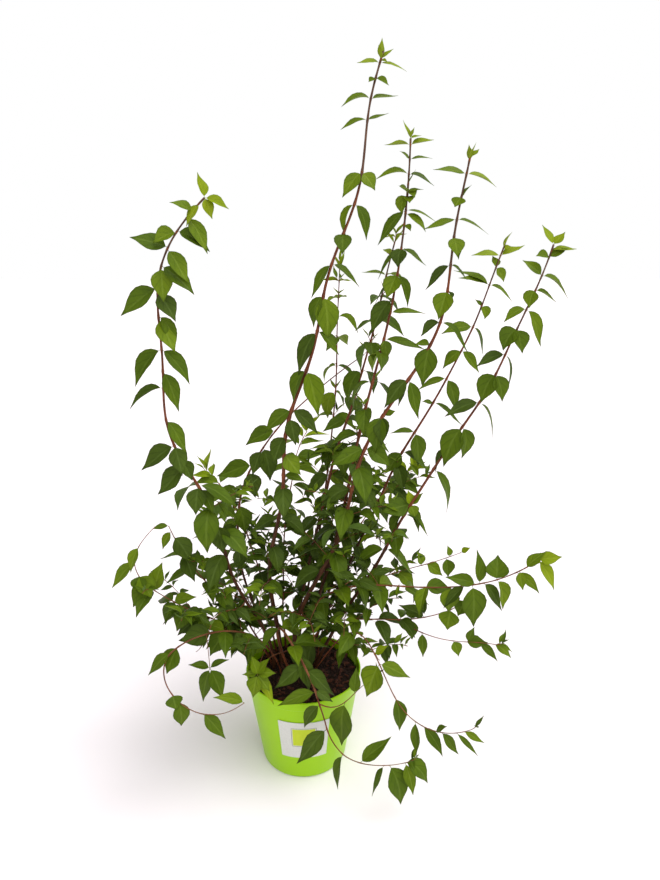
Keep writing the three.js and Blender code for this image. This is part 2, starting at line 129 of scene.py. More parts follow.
def add_node(tree: Tree, kind: str, feeds: Feeds | None = None, **settings: Any) -> Node:
    """Adds a node, sets its properties and feeds its inputs.

    Args:
        tree: The node tree that the node joins.
        kind: The node's class name.
        feeds: A value, or an output socket to link, for each input's name or number.
        settings: The node's own properties.

    Returns:
        The new node.
    """
    node = tree.nodes.new(kind)
    for name, value in settings.items():
        setattr(node, name, value)
    for key, feed in (feeds or {}).items():
        if isinstance(feed, Socket):
            tree.links.new(feed, node.inputs[key])
        else:
            node.inputs[key].default_value = feed
    return node


class Dice:
    """A repeatable row of numbers between 0 and 1, from a 32-bit linear congruential rule."""

    def __init__(self, seed: int) -> None:
        """Starts the row that belongs to a seed."""
        self.state = (seed * 2654435761) & 0xFFFFFFFF

    def draw(self) -> float:
        """Gives the next number between 0 and 1."""
        self.state = (self.state * 1664525 + 1013904223) & 0xFFFFFFFF
        return self.state / 2**32

    def among(self, span: Span) -> float:
        """Gives a number between the span's two ends."""
        return mix(*span, self.draw())


# Finishes


@dataclass(frozen=True)
class Finish:
    """What a surface is made of, as a principled material.

    A pattern, if it has one, runs from colour to second over the middle of its values. grain is the size of
    a blotch, and relief how far the pattern raises the surface.
    """

    name: str
    colour: str
    roughness: float
    ior: float = 1.5
    gloss: float = 0.35
    second: str = ""
    grain: float = 0.0
    relief: float = 0.0
    relief_strength: float = 1.0
    middle: Span = (0.32, 0.68)
    detail: float = 4.0
    grit: float = 0.6

    def material(self) -> bpy.types.Material:
        """Makes the material, or gives it back if it is there already.

        Returns:
            The material.
        """
        found = bpy.data.materials.get(self.name)
        if found:
            return found
        material = bpy.data.materials.new(self.name)
        material.use_nodes = True
        material.diffuse_color = linear(self.colour)
        shader = material.node_tree.nodes["Principled BSDF"]
        looks = {"Base Color": linear(self.colour), "Roughness": self.roughness, "IOR": self.ior,
                 "Specular IOR Level": self.gloss}
        for name, value in looks.items():
            shader.inputs[name].default_value = value
        self.dress(shader)
        return material

    def pattern(self, shader: Node) -> Socket:
        """Adds the finish's own noise and gives its value."""
        return self.noise(shader, self.grain)

    def dress(self, shader: Node) -> None:
        """Colours and raises the surface by the finish's pattern. A plain finish has none.

        Args:
            shader: The principled shader.
        """
        if self.second:
            pattern = self.pattern(shader)
            dark, light = sorted((self.colour, self.second), key=lambda code: sum(linear(code)))
            self.blend(shader, pattern, dark, light)
            if self.relief:
                self.emboss(shader, pattern, self.relief, self.relief_strength)

    def noise(self, shader: Node, grain: float, stretch: Sequence[float] = (1, 1, 1),
              source: Socket | None = None) -> Socket:
        """Adds a noise whose grain has a real size.

        Args:
            shader: The principled shader.
            grain: The size of one blotch.
            stretch: How many times finer the grain is along each axis.
            source: The places that it is read from, if not the object's own.

        Returns:
            The noise's value.
        """
        tree = shader.id_data
        if source is None:
            source = add_node(tree, "ShaderNodeTexCoord").outputs["Object"]
        drawn = add_node(tree, "ShaderNodeMapping", {"Vector": source, "Scale": stretch})
        feeds = {"Vector": drawn.outputs[0], "Scale": 1 / grain, "Detail": self.detail,
                 "Roughness": self.grit}
        return add_node(tree, "ShaderNodeTexNoise", feeds).outputs[0]

    def blend(self, shader: Node, pattern: Socket, dark: str, light: str,
              layers: Iterable[tuple[Socket, str]] = ()) -> None:
        """Lets the base colour run from dark to light over the middle of a pattern's values.

        Args:
            shader: The principled shader.
            pattern: The pattern's value.
            dark, light: Its colours at either end.
            layers: More shares and hex colours, laid over it in turn.
        """
        tree = shader.id_data
        low, high = self.middle
        ramp = add_node(tree, "ShaderNodeMapRange", {"Value": pattern, "From Min": low, "From Max": high})
        under = linear(dark)
        for share, over in ((ramp.outputs[0], light), *layers):
            feeds = {0: share, 6: under, 7: linear(over)}
            under = add_node(tree, "ShaderNodeMix", feeds, data_type="RGBA").outputs[2]
        tree.links.new(under, shader.inputs["Base Color"])

    def emboss(self, shader: Node, height: Socket, depth: float, strength: float = 1.0) -> None:
        """Raises the surface by a pattern."""
        tree = shader.id_data
        bump = add_node(tree, "ShaderNodeBump", {"Height": height, "Distance": depth, "Strength": strength})
        tree.links.new(bump.outputs[0], shader.inputs["Normal"])


@dataclass(frozen=True)
class MouldedPolypropylene(Finish):
    """Injection-moulded polypropylene: a clear even colour, a soft gloss and a faint ripple of the mould.

    The scuffs run up the wall, and each is drawn coarser than a real one so that it shows.
    """

    gloss: float = 0.22
    ripple: float = 7 * MM
    ripple_depth: float = 0.04 * MM
    ripple_strength: float = 0.35
    scuff: float = 2 * MM
    scuff_stretch: Triple = (1, 1, 0.15)
    scuffed: Span = (-0.05, 0.1)
    glow: float = 0.12
    glow_depth: Triple = (3 * MM, 4 * MM, 1 * MM)

    def dress(self, shader: Node) -> None:
        """Adds the mould's ripple, faint scuffs to the gloss and the plastic's glow.

        Args:
            shader: The principled shader.
        """
        tree = shader.id_data
        self.emboss(shader, self.noise(shader, self.ripple), self.ripple_depth, self.ripple_strength)
        scuffs = self.noise(shader, self.scuff, self.scuff_stretch)
        least, most = (self.roughness + change for change in self.scuffed)
        gloss = add_node(tree, "ShaderNodeMapRange", {"Value": scuffs, "To Min": least, "To Max": most})
        tree.links.new(gloss.outputs[0], shader.inputs["Roughness"])
        shader.inputs["Subsurface Weight"].default_value = self.glow
        shader.inputs["Subsurface Radius"].default_value = self.glow_depth


@dataclass(frozen=True)
class CoatedPaper(Finish):
    """Coated label paper: smooth, with the faintest cloudiness of its fibres.

    A cloud of fibre is drawn coarser than a real one so that it shows.
    """

    grain: float = 3 * MM


@dataclass(frozen=True)
class YoungBark(Finish):
    """Smooth young bark: satin, with darker streaks along the stem.

    The streaks are drawn longer and wider than real ones so that they show.
    """

    gloss: float = 0.15
    detail: float = 2.0
    grit: float = 0.5
    streak_length: float = 24 * MM
    streak_width: float = 2 * MM
    relief: float = 0.25 * MM
    relief_strength: float = 0.5

    def pattern(self, shader: Node) -> Socket:
        """Adds the streaks, which run along the stem's own map, and gives their value."""
        along = add_node(shader.id_data, "ShaderNodeUVMap", uv_map="stem").outputs[0]
        return self.noise(shader, 1.0, (1 / self.streak_length, 1 / self.streak_width, 1), along)


@dataclass(frozen=True)
class LeafBlade(Finish):
    """A living leaf: a waxy skin with a soft gloss, sunken arching veins and a paler midrib.

    A vein is drawn wider than a real one so that it shows. Painted shade darkens the sunken side veins and
    the margin. A negative relief makes the veins stand out.
    """

    ior: float = 1.42
    gloss: float = 0.1
    middle: Span = (0.35, 0.65)
    vein: str = "#7FA548"
    shade: str = "#2F5A1C"
    # Painted shade on the sunken side veins and along the margin, and the tip's own dark colour
    groove_shade_and_tip: str = "#2A3A0C"
    relief: float = 0.3 * MM
    relief_strength: float = 0.5
    blotch: float = 45 * MM
    blade: Span = (50 * MM, 12.5 * MM)
    vein_gap: float = 12.5 * MM
    vein_climb: float = 21 * MM
    vein_arch: float = 0.8
    vein_width: float = 2 * MM
    vein_share: float = 0.4
    margin: float = 3.5 * MM
    tip: float = 10 * MM
    tip_share: float = 0.75

    def dress(self, shader: Node) -> None:
        """Adds the blotches, and the veins that the blade's own map follows, with painted shade in the sunken
        veins.

        Args:
            shader: The principled shader.
        """
        tree = shader.id_data
        shaded_grooves, midrib, tip = self.veins(shader)
        layers = ((shaded_grooves, self.groove_shade_and_tip), (midrib, self.vein), (tip, self.groove_shade_and_tip))
        self.blend(shader, self.noise(shader, self.blotch), self.shade, self.colour, layers)
        both = add_node(tree, "ShaderNodeMath", {0: shaded_grooves, 1: midrib}, operation="MAXIMUM")
        sunk = add_node(tree, "ShaderNodeMath", {0: both.outputs[0], 1: -1.0}, operation="MULTIPLY")
        self.emboss(shader, sunk.outputs[0], self.relief, self.relief_strength)

    def veins(self, shader: Node) -> tuple[Socket, ...]:
        """Draws the midrib, the side veins that arch from it towards the tip, and the dark tip, and finds
        where shade
        is painted: on the side veins and along the margin.

        Args:
            shader: The principled shader.

        Returns:
            Three sockets, which are 0 but on the side veins and the margin, where shade is painted, on the
            midrib and at the tip.
        """
        tree = shader.id_data
        length, half = self.blade
        blade = add_node(tree, "ShaderNodeUVMap", uv_map="blade")
        split = add_node(tree, "ShaderNodeSeparateXYZ", {0: blade.outputs[0]})
        across, along = split.outputs[0], split.outputs[1]
        # First the distance from the midrib, then from it a wave along the blade that is 0 on each side vein
        places = []
        for sums in ((("MULTIPLY_ADD", 2.0, -1.0), ("ABSOLUTE",)),
                     (("POWER", self.vein_arch), ("MULTIPLY_ADD", -self.vein_climb / length, along),
                      ("MULTIPLY", length / self.vein_gap), ("PINGPONG", 0.5))):
            for operation, *others in sums:
                feeds = {0: across, **dict(enumerate(others, 1))}
                across = add_node(tree, "ShaderNodeMath", feeds, operation=operation).outputs[0]
            places.append(across)
        side, wave = places
        fades = []
        for place, start, end, first, last in (
                (wave, 0.0, self.vein_width / self.vein_gap, self.vein_share, 0.0),
                (side, 1 - self.margin / half, 1.0, 0.0, self.vein_share),
                (side, 0.0, self.vein_width / half, self.vein_share, 0.0),
                (along, 1 - self.tip / length, 1.0, 0.0, self.tip_share)):
            feeds = {"Value": place, "From Min": start, "From Max": end, "To Min": first, "To Max": last}
            fade = add_node(tree, "ShaderNodeMapRange", feeds, interpolation_type="SMOOTHSTEP")
            fades.append(fade.outputs[0])
        laterals, margin, midrib, tip = fades
        # The side veins and the margin together: where shade is painted and the surface sinks
        shaded_grooves = add_node(tree, "ShaderNodeMath", {0: laterals, 1: margin}, operation="MAXIMUM")
        return shaded_grooves.outputs[0], midrib, tip


@dataclass(frozen=True)
class PeatAndBark(Finish):
    """Moist potting substrate: dark peat with red-brown shreds of bark, matt and crumbly."""

    grain: float = 3.5 * MM
    relief: float = 1.2 * MM


# Polypropylene, dyed through and injection-moulded: an even lime green that glows a little, with a soft gloss
LIME_PLASTIC = MouldedPolypropylene("lime_polypropylene", "#96C603", 0.33, 1.49)
# Coated paper, rolled smooth: plain white and slightly satin
LABEL_PAPER = CoatedPaper("white_label_paper", "#D0D1CC", 0.45, second="#C7C8C2")
# Ink printed on that paper: a flat lime yellow, a little glossier than the paper
LIME_INK = CoatedPaper("lime_ink", "#BCCC10", 0.4, second="#B4C60C")
# Ink printed in thin lines: a dark grey with no pattern that could show
GREY_INK = Finish("grey_ink", "#3C3C34", 0.5)
# Bark of young canes, grown smooth: red-brown and satin
CANE_BARK = YoungBark("red_brown_bark", "#82482C", 0.45, second="#4C2717")
# Bark of older wood at the foot of the canes, weathered: more matt, and darker both as older wood and as
# painted shade under the foliage
OLD_AND_SHADED_BARK = YoungBark("old_shaded_brown_bark", "#5A3722", 0.55, second="#351E11")
# Bark that is still soft: a dull purple-grey towards the tips
TIP_BARK = YoungBark("purple_grey_bark", "#6A4C3A", 0.48, second="#4C3428")
# Bark of twigs, thin and smooth: tan with a red tinge
TWIG_BARK = YoungBark("tan_red_bark", "#845434", 0.5, second="#5E3622")
# Bark stretched over the swollen nodes: tan rings on the stems
NODE_BARK = YoungBark("tan_node_bark", "#84502F", 0.5, second="#623620")
# Peat, milled and moist: nearly black, with no gloss
PEAT = PeatAndBark("moist_peat", "#170C07", 0.95, second="#321B0E")
# Bark, shredded and moist: red-brown flecks on the peat
BARK_CHIP = PeatAndBark("shredded_bark", "#2E160C", 0.85, second="#5E301C")
# Paint, rolled on smooth: the studio's clean white floor
FLOOR_PAINT = Finish("white_floor_paint", "#F7F0F3", 0.9)
UNDERSIDE_ROUGHNESS = 0.6


def blades(name: str, roughness: float, *sides: str) -> tuple[LeafBlade, ...]:
    """Gives one green of leaf its glossier skin and its paler underside.

    Args:
        name: The green's name.
        roughness: How matt the skin is.
        sides: The colours of skin and underside: body, midrib, blotches, and the painted shade of the sunken
            veins and the margin, which is also the tip's own dark colour.

    Returns:
        The finish of the skin and that of the underside.
    """
    skin, underside = (dict(zip(("colour", "vein", "shade", "groove_shade_and_tip"), codes.split())) for codes in sides)
    under = {"roughness": UNDERSIDE_ROUGHNESS, "relief": -LeafBlade.relief}
    return (LeafBlade(f"{name}_leaf", roughness=roughness, **skin),
            LeafBlade(f"{name}_leaf_underside", **under, **underside))


class Tone(Enum):
    """The leaf greens, from deep to the unfolding ones, each with its skin and underside. DEEP, MID and
    BRIGHT hold the leaves' own greens together with painted shade and painted light: deep where leaves are
    shaded, bright where they are lit.
    """

    DEEP = blades("deep", 0.45, "475A19 5E7233 394A13 28360A", "546C2C 6D8447 475D24 42551F")
    MID = blades("mid", 0.45, "526712 697D2E 43580E 34440B", "5F7A32 7B9150 526C2A 4A6022")
    BRIGHT = blades("bright", 0.46, "677B14 7E9134 566C11 42540E", "768C2C 8EA24A 687F26 5E7422")
    FRESH = blades("fresh", 0.46, "829216 96A634 728512 5E7010", "849524 98A83E 76891E 697A1A")


# Meshes


def placed(name: str, mesh: bpy.types.Mesh, finishes: Iterable[Finish]) -> Piece:
    """Makes a mesh an object that stands at the origin.

    Args:
        name: The object's name.
        mesh: Its mesh.
        finishes: One finish for each of its material numbers.

    Returns:
        The object.
    """
    for finish in finishes:
        mesh.materials.append(finish.material())
    piece = bpy.data.objects.new(name, mesh)
    bpy.context.scene.collection.objects.link(piece)
    return piece


def shaped(name: str, form: Form, finish: Finish, smooth: bool = True) -> Piece:
    """Turns a finished bmesh into an object.

    Args:
        name: The object's name.
        form: The bmesh, which is freed.
        finish: Its finish.
        smooth: Whether its faces are shaded smooth.

    Returns:
        The object.
    """
    mesh = bpy.data.meshes.new(name)
    for face in form.faces:
        face.smooth = smooth
    form.to_mesh(mesh)
    form.free()
    return placed(name, mesh, [finish])


def meshed(name: str, corners: Array, faces: Sequence[Sequence[int]], finishes: Sequence[Finish],
           numbers: Sequence[int], smooth: bool = True) -> Piece:
    """Makes one piece from joined arrays.

    Args:
        name: The piece's name.
        corners: Its corners, as rows of x, y, z.
        faces: Its faces, as rows of corner numbers.
        finishes, numbers: Its finishes, and each face's by number.
        smooth: Whether its faces are shaded smooth.

    Returns:
        The object.
    """
    mesh = bpy.data.meshes.new(name)
    mesh.from_pydata(corners, [], faces)
    mesh.polygons.foreach_set("use_smooth", np.full(len(mesh.polygons), smooth))
    piece = placed(name, mesh, finishes)
    mesh.polygons.foreach_set("material_index", np.array(numbers, dtype=np.int32))
    mesh.update()
    return piece


def mapped(piece: Piece, name: str, places: Array) -> None:
    """Gives a piece a map.

    Args:
        piece: The piece.
        name: The map's name.
        places: A u and a v for each of the piece's corners.
    """
    mesh = piece.data
    layer = mesh.uv_layers.new(name=name)
    corner = np.empty(len(mesh.loops), dtype=np.int32)
    mesh.loops.foreach_get("vertex_index", corner)
    layer.data.foreach_set("uv", places[corner].astype(np.float32).ravel())


def turned_round(outline: Sequence[Span], steps: int) -> Form:
    """Spins an outline of radii and heights round the upright axis.

    Args:
        outline: Points from the axis at the bottom round to the axis at the top.
        steps: How many steps the full turn takes.

    Returns:
        A closed bmesh whose faces point outwards.
    """
    form = bmesh.new()
    corners = [form.verts.new((radius, 0, height)) for radius, height in outline]
    for low, high in zip(corners, corners[1:]):
        form.edges.new((low, high))
    bmesh.ops.spin(form, geom=form.verts[:] + form.edges[:], cent=(0, 0, 0), axis=(0, 0, 1),
                   angle=math.tau, steps=steps, use_merge=True)
    bmesh.ops.remove_doubles(form, verts=form.verts, dist=MERGE)
    bmesh.ops.recalc_face_normals(form, faces=form.faces)
    return form


def rounded(corner: Span, before: Span, after: Span, radius: float, steps: int = 4) -> list[Span]:
    """Rounds one corner of an outline.

    Args:
        corner: The sharp corner.
        before, after: The outline's points beside it.
        radius: How far from it the rounding starts.
        steps: How many spans it takes.

    Returns:
        The points that take the corner's place.
    """
    middle = Vector(corner)
    start, end = (middle + (Vector(point) - middle).normalized() * radius for point in (before, after))
    shares = [i / steps for i in range(steps + 1)]
    return [tuple(start * (1 - t) ** 2 + middle * 2 * t * (1 - t) + end * t * t) for t in shares]


# The pot, its soil and its label


@dataclass
class NurseryPot:
    """The round tapered pot, with the sizes of its solid. lip is a share of its wall."""

    low: Vector
    high: Vector
    foot_radius: float = 70 * MM
    foot_rounding: float = 5 * MM
    wall: float = 1.8 * MM
    rim_wall: float = 2.6 * MM
    rim_depth: float = 7 * MM
    rim_slope: float = 2 * MM
    collar: float = 15 * MM
    collar_step: float = 0.7 * MM
    base: float = 2.4 * MM
    drain_holes: int = 6
    drain_radius: float = 6 * MM
    drain_circle: float = 46 * MM
    drain_sides: int = 24
    lip: float = 0.4
    steps: int = 120

    @property
    def height(self) -> float:
        """The pot's height."""
        return self.high.z

    @property
    def rim_radius(self) -> float:
        """The outer radius of the rim."""
        return (self.high.x - self.low.x) / 2

    def radius_at(self, height: float) -> float:
        """Gives the outer radius of the wall at a height."""
        return mix(self.foot_radius, self.rim_radius, height / self.height)

    def outline(self) -> list[Span]:
        """Draws half the pot's section.

        Returns:
            Its radii and heights, from the middle of the foot round to the middle of the floor.
        """
        rim_foot = self.height - self.rim_depth
        slope_foot = rim_foot - self.rim_slope
        collar_foot = self.height - self.collar
        step_foot = collar_foot - self.collar_step
        lip = self.rim_wall * self.lip
        corners = (
            ((0, 0), 0),
            ((self.foot_radius, 0), self.foot_rounding),
            ((self.radius_at(step_foot) - self.collar_step, step_foot), self.collar_step / 2),
            ((self.radius_at(collar_foot), collar_foot), self.collar_step / 2),
            ((self.rim_radius, self.height), lip),
            ((self.rim_radius - self.rim_wall, self.height), lip),
            ((self.radius_at(rim_foot) - self.rim_wall, rim_foot), 0),
            ((self.radius_at(slope_foot) - self.wall, slope_foot), 0),
            ((self.radius_at(self.base) - self.wall, self.base), self.base),
            ((0, self.base), 0),
        )
        sharp = [corner for corner, _ in corners]
        points = []
        for i, (corner, radius) in enumerate(corners):
            after = sharp[(i + 1) % len(sharp)]
            points += rounded(corner, sharp[i - 1], after, radius) if radius else [corner]
        return points

    def build(self) -> Piece:
        """Makes the pot and cuts its drain holes.

        Returns:
            The pot.
        """
        pot = shaped("nursery_pot", turned_round(self.outline(), self.steps), LIME_PLASTIC)
        drill = bmesh.new()
        for i in range(self.drain_holes):
            place = level_at((i + 0.5) * 360 / self.drain_holes) * self.drain_circle
            bmesh.ops.create_cone(drill, cap_ends=True, segments=self.drain_sides, radius1=self.drain_radius,
                                  radius2=self.drain_radius, depth=4 * self.base,
                                  matrix=Matrix.Translation(place))
        cutter = shaped("drill", drill, LIME_PLASTIC)
        cut = pot.modifiers.new("drain_holes", "BOOLEAN")
        cut.operation = "DIFFERENCE"
        cut.object = cutter
        carved = bpy.data.meshes.new_from_object(pot.evaluated_get(bpy.context.evaluated_depsgraph_get()))
        pot.modifiers.clear()
        pot.data = carved
        bpy.data.objects.remove(cutter)
        for polygon in pot.data.polygons:
            polygon.use_smooth = True
        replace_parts(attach(pot, "root"), "pot")
        return pot

    def blocks(self, points: Array, soil_top: float, clear: float = 1.5 * MM) -> Array:
        """Finds which points lie in the pot's wall or the soil.

        Args:
            points: Places, with x, y, z last.
            soil_top: The height of the soil.
            clear: How close a point may come.

        Returns:
            True for each point that is in the way.
        """
        radius = np.hypot(points[..., 0], points[..., 1])
        height = points[..., 2]
        outer = self.foot_radius + (self.rim_radius - self.foot_radius) * height / self.height
        inside = radius < outer - self.rim_wall - clear
        wall = (height < self.height + clear) & (radius < outer + clear) & ~inside
        return wall | (inside & (height < soil_top + clear))


@dataclass
class Soil:
    """The filled pot's soil: a bed with lumps and hollows, and loose crumbs and shreds of bark on it.

    Its waves are in radians per metre, and the sizes of its crumbs and shreds are half lengths.
    """

    pot: NurseryPot
    top: float = 148 * MM
    clear: float = 0.3 * MM
    lump: float = 3 * MM
    lumps: Span = (209, 170)
    swells: Span = (90, 131)
    ripples: Span = (520, 610)
    weights: Triple = (0.55, 0.5, 0.3)
    rings: int = 26
    steps: int = 96
    crumbs: int = 1500
    crumb: Span = (0.9 * MM, 3.6 * MM)
    crumb_squash: Span = (0.5, 1.0)
    shreds: int = 420
    shred: Span = (2 * MM, 8.5 * MM)
    shred_squash: Span = (0.2, 0.55)
    tilt: float = 0.35
    ragged: Span = (0.7, 1.25)
    proud: float = 0.2
    seed: int = 7

    def radius_at(self, height: float) -> float:
        """Gives the soil's radius at a height, just clear of the wall."""
        return self.pot.radius_at(height) - self.pot.wall - self.clear

    def lift(self, x: float, y: float) -> float:
        """Gives how far a lump or a hollow lifts the bed.

        Args:
            x, y: The place.

        Returns:
            The height over the surface.
        """
        coarse, swell, fine = self.weights
        lump = math.sin(x * self.lumps[0]) * math.cos(y * self.lumps[1])
        lump += swell * math.sin(x * self.swells[0] - y * self.swells[1])
        small = math.sin(x * self.ripples[0] + 1) * math.sin(y * self.ripples[1] + 2)
        return self.lump * (coarse * lump + fine * small)

    def bed(self) -> Piece:
        """Makes the soil's body, with a finely rippled top.

        Returns:
            The bed.
        """
        floor = self.pot.base + self.clear
        shoulder = self.top - self.lump
        rim = self.radius_at(shoulder)
        top = [(rim * (1 - i / self.rings), self.top) for i in range(1, self.rings + 1)]
        form = turned_round([(0, floor), (self.radius_at(floor), floor), (rim, shoulder), *top], self.steps)
        for vertex in form.verts:
            if vertex.co.z > shoulder + self.clear:
                vertex.co.z += self.lift(vertex.co.x, vertex.co.y)
        bed = shaped("soil_bed", form, PEAT)
        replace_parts(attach(bed, "root"), "soil")
        return bed

    def scatter(self, name: str, count: int, sizes: Span, squash: Span, finish: Finish) -> Piece:
        """Strews small lumps over the bed.

        Args:
            name: The piece's name.
            count: How many.
            sizes: The least and the largest half length.
            squash: The least and the most of its length for its width and height.
            finish: Their finish.

        Returns:
            One object that holds them all.
        """
        chance = np.random.default_rng(self.seed + count)
        lump = bmesh.new()
        bmesh.ops.create_icosphere(lump, subdivisions=1, radius=1)
        corners = np.array([vertex.co[:] for vertex in lump.verts])
        faces = np.array([[vertex.index for vertex in face.verts] for face in lump.faces])
        lump.free()
        rim = self.radius_at(self.top) - sizes[1]
        places = []
        for _ in range(count):
            radius = rim * math.sqrt(chance.uniform())
            angle = chance.uniform(0, math.tau)
            x, y = radius * math.cos(angle), radius * math.sin(angle)
            size = mix(*sizes, chance.uniform() ** 2)
            shape = np.array([1, chance.uniform(*squash), chance.uniform(*squash)]) * size
            turn = Matrix.Rotation(chance.uniform(0, math.tau), 3, "Z")
            turn = turn @ Matrix.Rotation(chance.normal(0, self.tilt), 3, "Y")
            lumpy = corners * shape * chance.uniform(*self.ragged, (len(corners), 1))
            height = self.top + self.lift(x, y) + size * self.proud
            places.append(lumpy @ np.array(turn.transposed()) + [x, y, height])
        lumps = (faces + len(corners) * np.arange(count)[:, None, None]).reshape(-1, 3)
        piece = meshed(name, np.concatenate(places), lumps, [finish], [0] * len(lumps), smooth=False)
        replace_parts(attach(piece, "root"), "soil")
        return piece

    def build(self) -> list[Piece]:
        """Makes the bed, the crumbs and the shreds of bark.

        Returns:
            The three pieces.
        """
        return [
            self.bed(),
            self.scatter("soil_crumbs", self.crumbs, self.crumb, self.crumb_squash, PEAT),
            self.scatter("bark_shreds", self.shreds, self.shred, self.shred_squash, BARK_CHIP),
        ]


@dataclass
class Label:
    """The plain label on the pot's front: white paper with one lime square in a frame of thin rules."""

    pot: NurseryPot
    width: float = 78 * MM
    height: float = 75 * MM
    bottom: float = 47 * MM
    bearing: float = -88
    corner: float = 1.2 * MM
    corner_steps: int = 4
    square: float = 35 * MM
    square_low: float = 73.5 * MM
    rule: float = 0.6 * MM
    rule_gap: float = 1.2 * MM
    back: float = 0.05 * MM
    face: float = 0.8 * MM
    ink: float = 0.05 * MM
    ink_sunk: float = 0.1 * MM
    bend_step: float = 3 * MM

    def sheet(self, name: str, finish: Finish, box: Sequence[float], inner: float, outer: float,
              corner: float = 0.0) -> Piece:
        """Bends a flat rectangle round the pot.

        Args:
            name: The piece's name.
            finish: Its finish.
            box: Its left, right, bottom and top from the label's middle and the ground.
            inner, outer: How far its back and its face stand off the wall.
            corner: The radius of its corners.

        Returns:
            The new object.
        """
        left, right, low, high = box
        form = bmesh.new()
        bmesh.ops.create_cube(form, size=1)
        bmesh.ops.scale(form, verts=form.verts, vec=(right - left, outer - inner, high - low))
        if corner:
            upright = [e for e in form.edges if abs(e.verts[0].co.y - e.verts[1].co.y) > MERGE]
            bmesh.ops.bevel(form, geom=upright, offset=corner, segments=self.corner_steps, profile=0.5,
                            affect="EDGES", material=-1)
        steps = max(1, round((right - left) / self.bend_step))
        for i in range(1, steps):
            x = (right - left) * (i / steps - 0.5)
            bmesh.ops.bisect_plane(form, geom=form.verts[:] + form.edges[:] + form.faces[:],
                                   plane_co=(x, 0, 0), plane_no=(1, 0, 0))
        middle = self.pot.radius_at(self.bottom + self.height / 2)
        for vertex in form.verts:
            height = vertex.co.z + (low + high) / 2
            stand = (inner + outer) / 2 - vertex.co.y
            angle = math.radians(self.bearing) + (vertex.co.x + (left + right) / 2) / middle
            radius = self.pot.radius_at(height) + stand
            vertex.co = Vector((radius * math.cos(angle), radius * math.sin(angle), height))
        piece = shaped(name, form, finish, smooth=False)
        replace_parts(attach(piece, "root"), "label")
        return piece

    def build(self) -> list[Piece]:
        """Makes the paper, the square and the four rules round it.

        Returns:
            The six pieces.
        """
        half = self.width / 2
        ink = self.face + self.ink
        sunk = self.face - self.ink_sunk
        left, right = -self.square / 2, self.square / 2
        low, high = self.square_low, self.square_low + self.square
        gap, rule = self.rule_gap, self.rule
        near, far, under, over = left - gap, right + gap, low - gap, high + gap
        rules = {
            "left": (near - rule, near, under, over),
            "right": (far, far + rule, under, over),
            "bottom": (near, far, under - rule, under),
            "top": (near, far, over, over + rule),
        }
        paper = (-half, half, self.bottom, self.bottom + self.height)
        return [
            self.sheet("label_sheet", LABEL_PAPER, paper, self.back, self.face, self.corner),
            self.sheet("label_square", LIME_INK, (left, right, low, high), sunk, ink),
            *(self.sheet(f"label_rule_{side}", GREY_INK, box, sunk, ink) for side, box in rules.items()),
        ]


# The plant's growth, by the same rule as the solids

# A grown stem's slight bends: half waves over its length, and how wide each is as a share of it
SWAYS = ((2, 0.0035), (3, 0.004), (5, 0.0025), (9, 0.0012))


class Arc:
    """A cubic arc that is read by shares of its length."""

    STEPS = 200

    def __init__(self, start: Vector, rise: Vector, arch: Vector, tip: Vector) -> None:
        """Measures the arc.

        Args:
            start, tip: Its ends.
            rise, arch: Its handles.
        """
        self.corners = (start, rise, arch, tip)
        self.sways: list[tuple[int, Vector]] = []
        places = [self.point(i / self.STEPS) for i in range(self.STEPS + 1)]
        self.lengths = [0.0]
        for before, after in zip(places, places[1:]):
            self.lengths.append(self.lengths[-1] + (after - before).length)
        self.length = self.lengths[-1]

    def point(self, t: float) -> Vector:
        """Gives the point at the curve's own parameter."""
        start, rise, arch, tip = self.corners
        s = 1 - t
        return start * s**3 + rise * (3 * s * s * t) + arch * (3 * s * t * t) + tip * t**3

    def parameter(self, share: float) -> float:
        """Turns a share of the length into the curve's own parameter.

        Args:
            share: The share of the length.

        Returns:
            The parameter.
        """
        goal = share * self.length
        i = min(max(int(np.searchsorted(self.lengths, goal, side="right")) - 1, 0), self.STEPS - 1)
        span = self.lengths[i + 1] - self.lengths[i]
        return (i + (goal - self.lengths[i]) / span) / self.STEPS

    def place(self, share: float) -> Vector:
        """Gives the point at a share of the length."""
        swayed = (aside * math.sin(math.pi * waves * share) for waves, aside in self.sways)
        return self.point(self.parameter(share)) + sum(swayed, Vector())

    def heading(self, share: float) -> Vector:
        """Gives the direction of growth.

        Args:
            share: The share of the length where it is read.

        Returns:
            The unit direction.
        """
        t = min(max(self.parameter(share), 0), 1)
        start, rise, arch, tip = self.corners
        s = 1 - t
        slope = (rise - start) * (s * s) + (arch - rise) * (2 * s * t) + (tip - arch) * (t * t)
        return slope.normalized()

    def sway(self, dice: Dice) -> None:
        """Gives the arc the slight bends of a grown stem, which leave both its ends in place."""
        for waves, share in SWAYS:
            aside = level_at(360 * dice.draw()) * (share * self.length)
            self.sways.append((waves, aside))


@dataclass(frozen=True)
class Growth:
    """How a stem grows.

    internode is the distance between full-grown pairs, bare the share that bears no leaves, twigs the
    chance of a twig over a leaf, and taper the share of its foot's radius that it has at its tip.
    """

    radius: float
    leaf: float
    internode: float
    bare: float
    twigs: float = 0.0
    taper: float = 0.28
    least: float = 0.5 * MM

    def radius_at(self, share: float) -> float:
        """Gives the stem's radius at a share of its length."""
        return max(self.least, self.radius * mix(1, self.taper, share))


@dataclass(frozen=True)
class Fork:
    """A second stem that leaves a shoot at a share of its length, with its handles and tip in millimetres."""

    at: float
    rise: Triple
    arch: Triple
    tip: Triple
    radius: float = 0.9 * MM
    bare: float = 0.12


